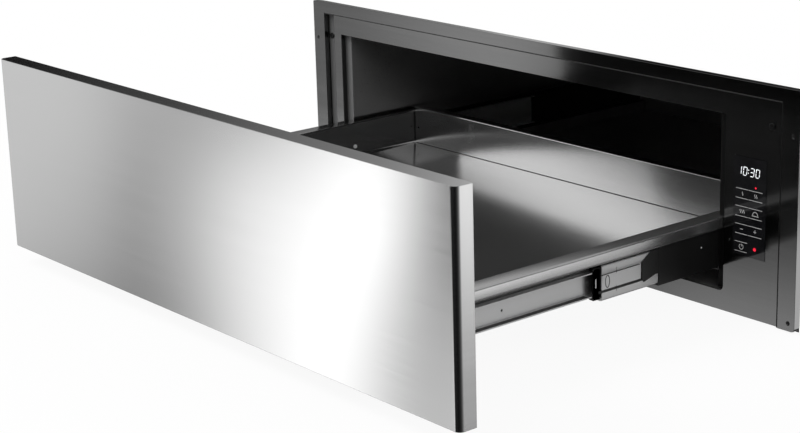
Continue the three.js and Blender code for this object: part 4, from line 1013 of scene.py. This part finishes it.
shape = bmesh.new()
for x, z, size in ((320.3, 134.8, 2.0), (320.6, 72.4, 3.6)):
    add_dot(shape, x, z, size, 24)
lamp_red = lit_finish("display_red", (0.75, 0.015, 0.04))
lamps = make_piece("display_lamps", shape, lamp_red, "housing")
lamps.visible_glossy = False

# -------------------- cavity
# Steel liner behind the opening, with a satin lip on its left and a dark foam gasket on its right. The sensor
# and the cut-out sit on its back wall, and wool boards, the heating element and its straps lie round it.

finish_node(cavity_steel, "cavity_left", "cavity_right", "cavity_top", "cavity_floor", "cavity_back")
finish_node(zinc, "temperature_sensor")
right_low, right_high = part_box("cavity_right")
seal_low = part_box("opening_seal_right")[0]
shape = bmesh.new()
gasket_y, gasket_round = right_low.y - 0.9 * mm, 0.5 * mm
add_block(shape, (right_low.x - 0.2 * mm, gasket_y, seal_low.z),
          (seal_low.x - 0.3 * mm, right_low.y, right_high.z))
front_edges = [edge for edge in shape.edges if edge.calc_length() > 50 * mm
               and edge.verts[0].co.y < right_low.y - 0.5 * mm]
soften(shape, front_edges, gasket_round, 3)
gasket_foam = speckled_finish("gasket_foam", 0.001, 0.003, (0.75, 0.9), scale=900)
make_piece("opening_gasket", shape, gasket_foam, "housing", along="Z")
left_low, left_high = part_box("cavity_left")
seal_left_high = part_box("opening_seal_left")[1]
shape = bmesh.new()
add_block(shape, (seal_left_high.x, left_low.y - 0.12 * mm, seal_low.z),
          (left_high.x - 0.4 * mm, left_low.y + 0.1 * mm, left_high.z))
lip_satin = speckled_finish("lip_satin", 0.15, 0.18, (0.5, 0.6), scale=900, relief=0.00002)
make_piece("liner_lip", shape, lip_satin, "housing", along="Z")
finish_node(black_plastic, "thermal_cutout")
wool_tuft, wool_dip, wool_round = 22 * mm, 1.1 * mm, 1.6 * mm
wool = speckled_finish("wool", (0.50, 0.45, 0.32), (0.68, 0.63, 0.50), (0.92, 0.98), scale=260,
                       relief=0.001, strength=0.8)
for side in ("left", "right", "top", "back", "floor"):
    shape = merged_copy(f"insulation_{side}")
    soften(shape, [edge for edge in shape.edges if edge.calc_length() > 8 * mm], wool_round, 2)
    low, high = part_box(f"insulation_{side}")
    for axis in range(3):
        facing = Vector((0, 0, 0))
        facing[axis] = 1
        cuts = int((high[axis] - low[axis]) / wool_tuft)
        for cut in range(1, cuts + 1):
            at = Vector(low)
            at[axis] = low[axis] + (high[axis] - low[axis]) * cut / (cuts + 1)
            geom = shape.verts[:] + shape.edges[:] + shape.faces[:]
            bmesh.ops.bisect_plane(shape, geom=geom, plane_co=at, plane_no=facing)
    shape.normal_update()
    for vert, away in [(vert, vert.normal.copy()) for vert in shape.verts]:
        vert.co -= away * wool_dip * (0.5 + 0.5 * noise.noise(vert.co * 45))
    make_piece(f"wool_{side}", shape, wool, "housing",
               stands_for=[f"insulation_{side}"], along="Z", smooth=60)
heater = speckled_finish("heater_sheath", 0.10, 0.15, (0.4, 0.5), metallic=0.9)
finish_node(heater, "heating_element")
finish_node(galvanised, "element_strap_left", "element_strap_right")

# -------------------- casing
# Zinc coated steel box round the cavity, screwed together along its back edges.

finish_node(galvanised, "base_pan", "casing_left", "casing_right", "casing_back", "casing_top",
            "electronics_divider", "junction_box")
screw_size, screw_rise, screw_inset, screw_round = 7 * mm, 1.6 * mm, 9 * mm, 0.9 * mm
case_x, case_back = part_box("casing_right")[1].x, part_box("casing_back")[1].y
case_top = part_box("casing_top")[1].z
shape = bmesh.new()
spots = []
for side in (-1, 1):
    for y in (case_back - 18 * mm, 60 * mm, -150 * mm, -262 * mm):
        for z in (12 * mm, case_top - 14 * mm):
            spots.append((Vector((side * case_x, y, z)), Vector((side, 0, 0))))
for x in (-330, -165, 0, 165, 330):
    for z in (14 * mm, case_top - screw_inset):
        spots.append((Vector((x * mm, case_back, z)), Vector((0, 1, 0))))
tools = bmesh.new()
for spot, facing in spots:
    crown = spot + facing * screw_rise
    added = add_cylinder(shape, spot - facing * 0.6 * mm, crown, screw_size, 20)
    rim = dict.fromkeys(edge for vert in added for edge in vert.link_edges
                        if all(abs((end.co - crown).dot(facing)) < 1e-6 for end in edge.verts))
    soften(shape, list(rim), screw_round, 3)
    side = facing.cross(Vector((0, 0, 1)))
    for across, along in ((2.0, 0.4), (0.4, 2.0)):
        reach = side * across * mm + Vector((0, 0, along * mm))
        low, high = crown - facing * mm - reach, crown + facing * mm + reach
        add_block(tools, [min(pair) for pair in zip(low, high)], [max(pair) for pair in zip(low, high)])
make_piece("casing_screws", carve(shape, tools), zinc, "housing")

# -------------------- electronics
# Moulded housings, two circuit boards, a gland for the lead, the push latch, and a bundle of seven silicone
# wires that is tied every 60 mm on its way from the control board to the junction box.

finish_node(black_plastic, "control_housing", "board_carrier", "cable_gland", "latch_body")
board = speckled_finish("circuit_board", (0.01, 0.10, 0.04), (0.02, 0.15, 0.06), (0.35, 0.5), scale=600)
finish_node(board, "control_board", "power_board")
finish_node(zinc, "latch_plunger")
harness_stops = [Vector(stop) * mm for stop in (
    (313, -268.4, 115), (313, -240.5, 115), (314, -120, 48), (314, 40, 48), (326, 176.7, 35.5),
    (326, 204.5, 35.5),
)]
wire_size, wire_ring, wire_lay = 2.1 * mm, 2.2 * mm, 90 * mm
tie_pitch, tie_size, tie_half = 60 * mm, 6.9 * mm, 1.5 * mm


def smooth_route(stops, steps=12):
    """Centripetal curve through the stops, as points."""
    ends = [stops[0] * 2 - stops[1], *stops, stops[-1] * 2 - stops[-2]]
    route = []
    for first in range(len(stops) - 1):
        four = ends[first:first + 4]
        times = [0]
        for p, q in zip(four, four[1:]):
            times.append(times[-1] + (q - p).length ** 0.5)
        for step in range(steps):
            now = times[1] + (times[2] - times[1]) * step / steps
            row = four
            for level, last in ((1, 3), (2, 2)):
                shares = [(now - times[i]) / (times[i + level] - times[i]) for i in range(last)]
                row = [row[i].lerp(row[i + 1], shares[i]) for i in range(last)]
            route.append(row[0].lerp(row[1], step / steps))
    return [*route, stops[-1]]


def paint_from(shape, first, index):
    """Gives the faces from the first on a material by its index."""
    shape.faces.ensure_lookup_table()
    for side in shape.faces[first:]:
        side.material_index = index


route = smooth_route(harness_stops)
shape = bmesh.new()
gone = 0
places = []
for i, spot in enumerate(route):
    ahead = (route[min(i + 1, len(route) - 1)] - route[max(i - 1, 0)]).normalized()
    gone += (spot - route[i - 1]).length if i else 0
    aside = ahead.cross(Vector((1, 0, 0))).normalized()
    places.append((spot, ahead, aside, ahead.cross(aside), gone))
for wire in range(7):
    strand = bpy.data.curves.new("strand", "CURVE")
    strand.dimensions = "3D"
    strand.bevel_depth = wire_size / 2
    strand.bevel_resolution = 2
    strand.use_fill_caps = True
    line = strand.splines.new("POLY")
    line.points.add(len(places) - 1)
    for point, (spot, ahead, aside, over, way_gone) in zip(line.points, places):
        turn = 2 * math.pi * (wire / 6 + way_gone / wire_lay)
        out = wire_ring if wire < 6 else 0
        point.co = (*(spot + (aside * math.cos(turn) + over * math.sin(turn)) * out), 1)
    holder = link_object("strand", strand)
    before = len(shape.faces)
    take_mesh(shape, evaluated(holder))
    paint_from(shape, before, wire % 3)
    bpy.data.objects.remove(holder)
    bpy.data.curves.remove(strand)
due = tie_pitch / 2
for spot, ahead, aside, over, way_gone in places:
    if way_gone >= due:
        due += tie_pitch
        before = len(shape.faces)
        add_cylinder(shape, spot - ahead * tie_half, spot + ahead * tie_half, tie_size, 20)
        paint_from(shape, before, 3)
wires = [speckled_finish(f"wire_{name}", dark, light, (0.45, 0.6), scale=900) for name, dark, light in (
    ("red", (0.30, 0.02, 0.02), (0.38, 0.03, 0.03)), ("grey", 0.30, 0.38),
    ("blue", (0.02, 0.05, 0.25), (0.03, 0.07, 0.33)),
)]
harness = make_piece("harness_wires", shape, wires[0], "housing",
                     stands_for=["wiring_harness"], along="Y")
for finish in (*wires[1:], black_plastic):
    harness.data.materials.append(finish)
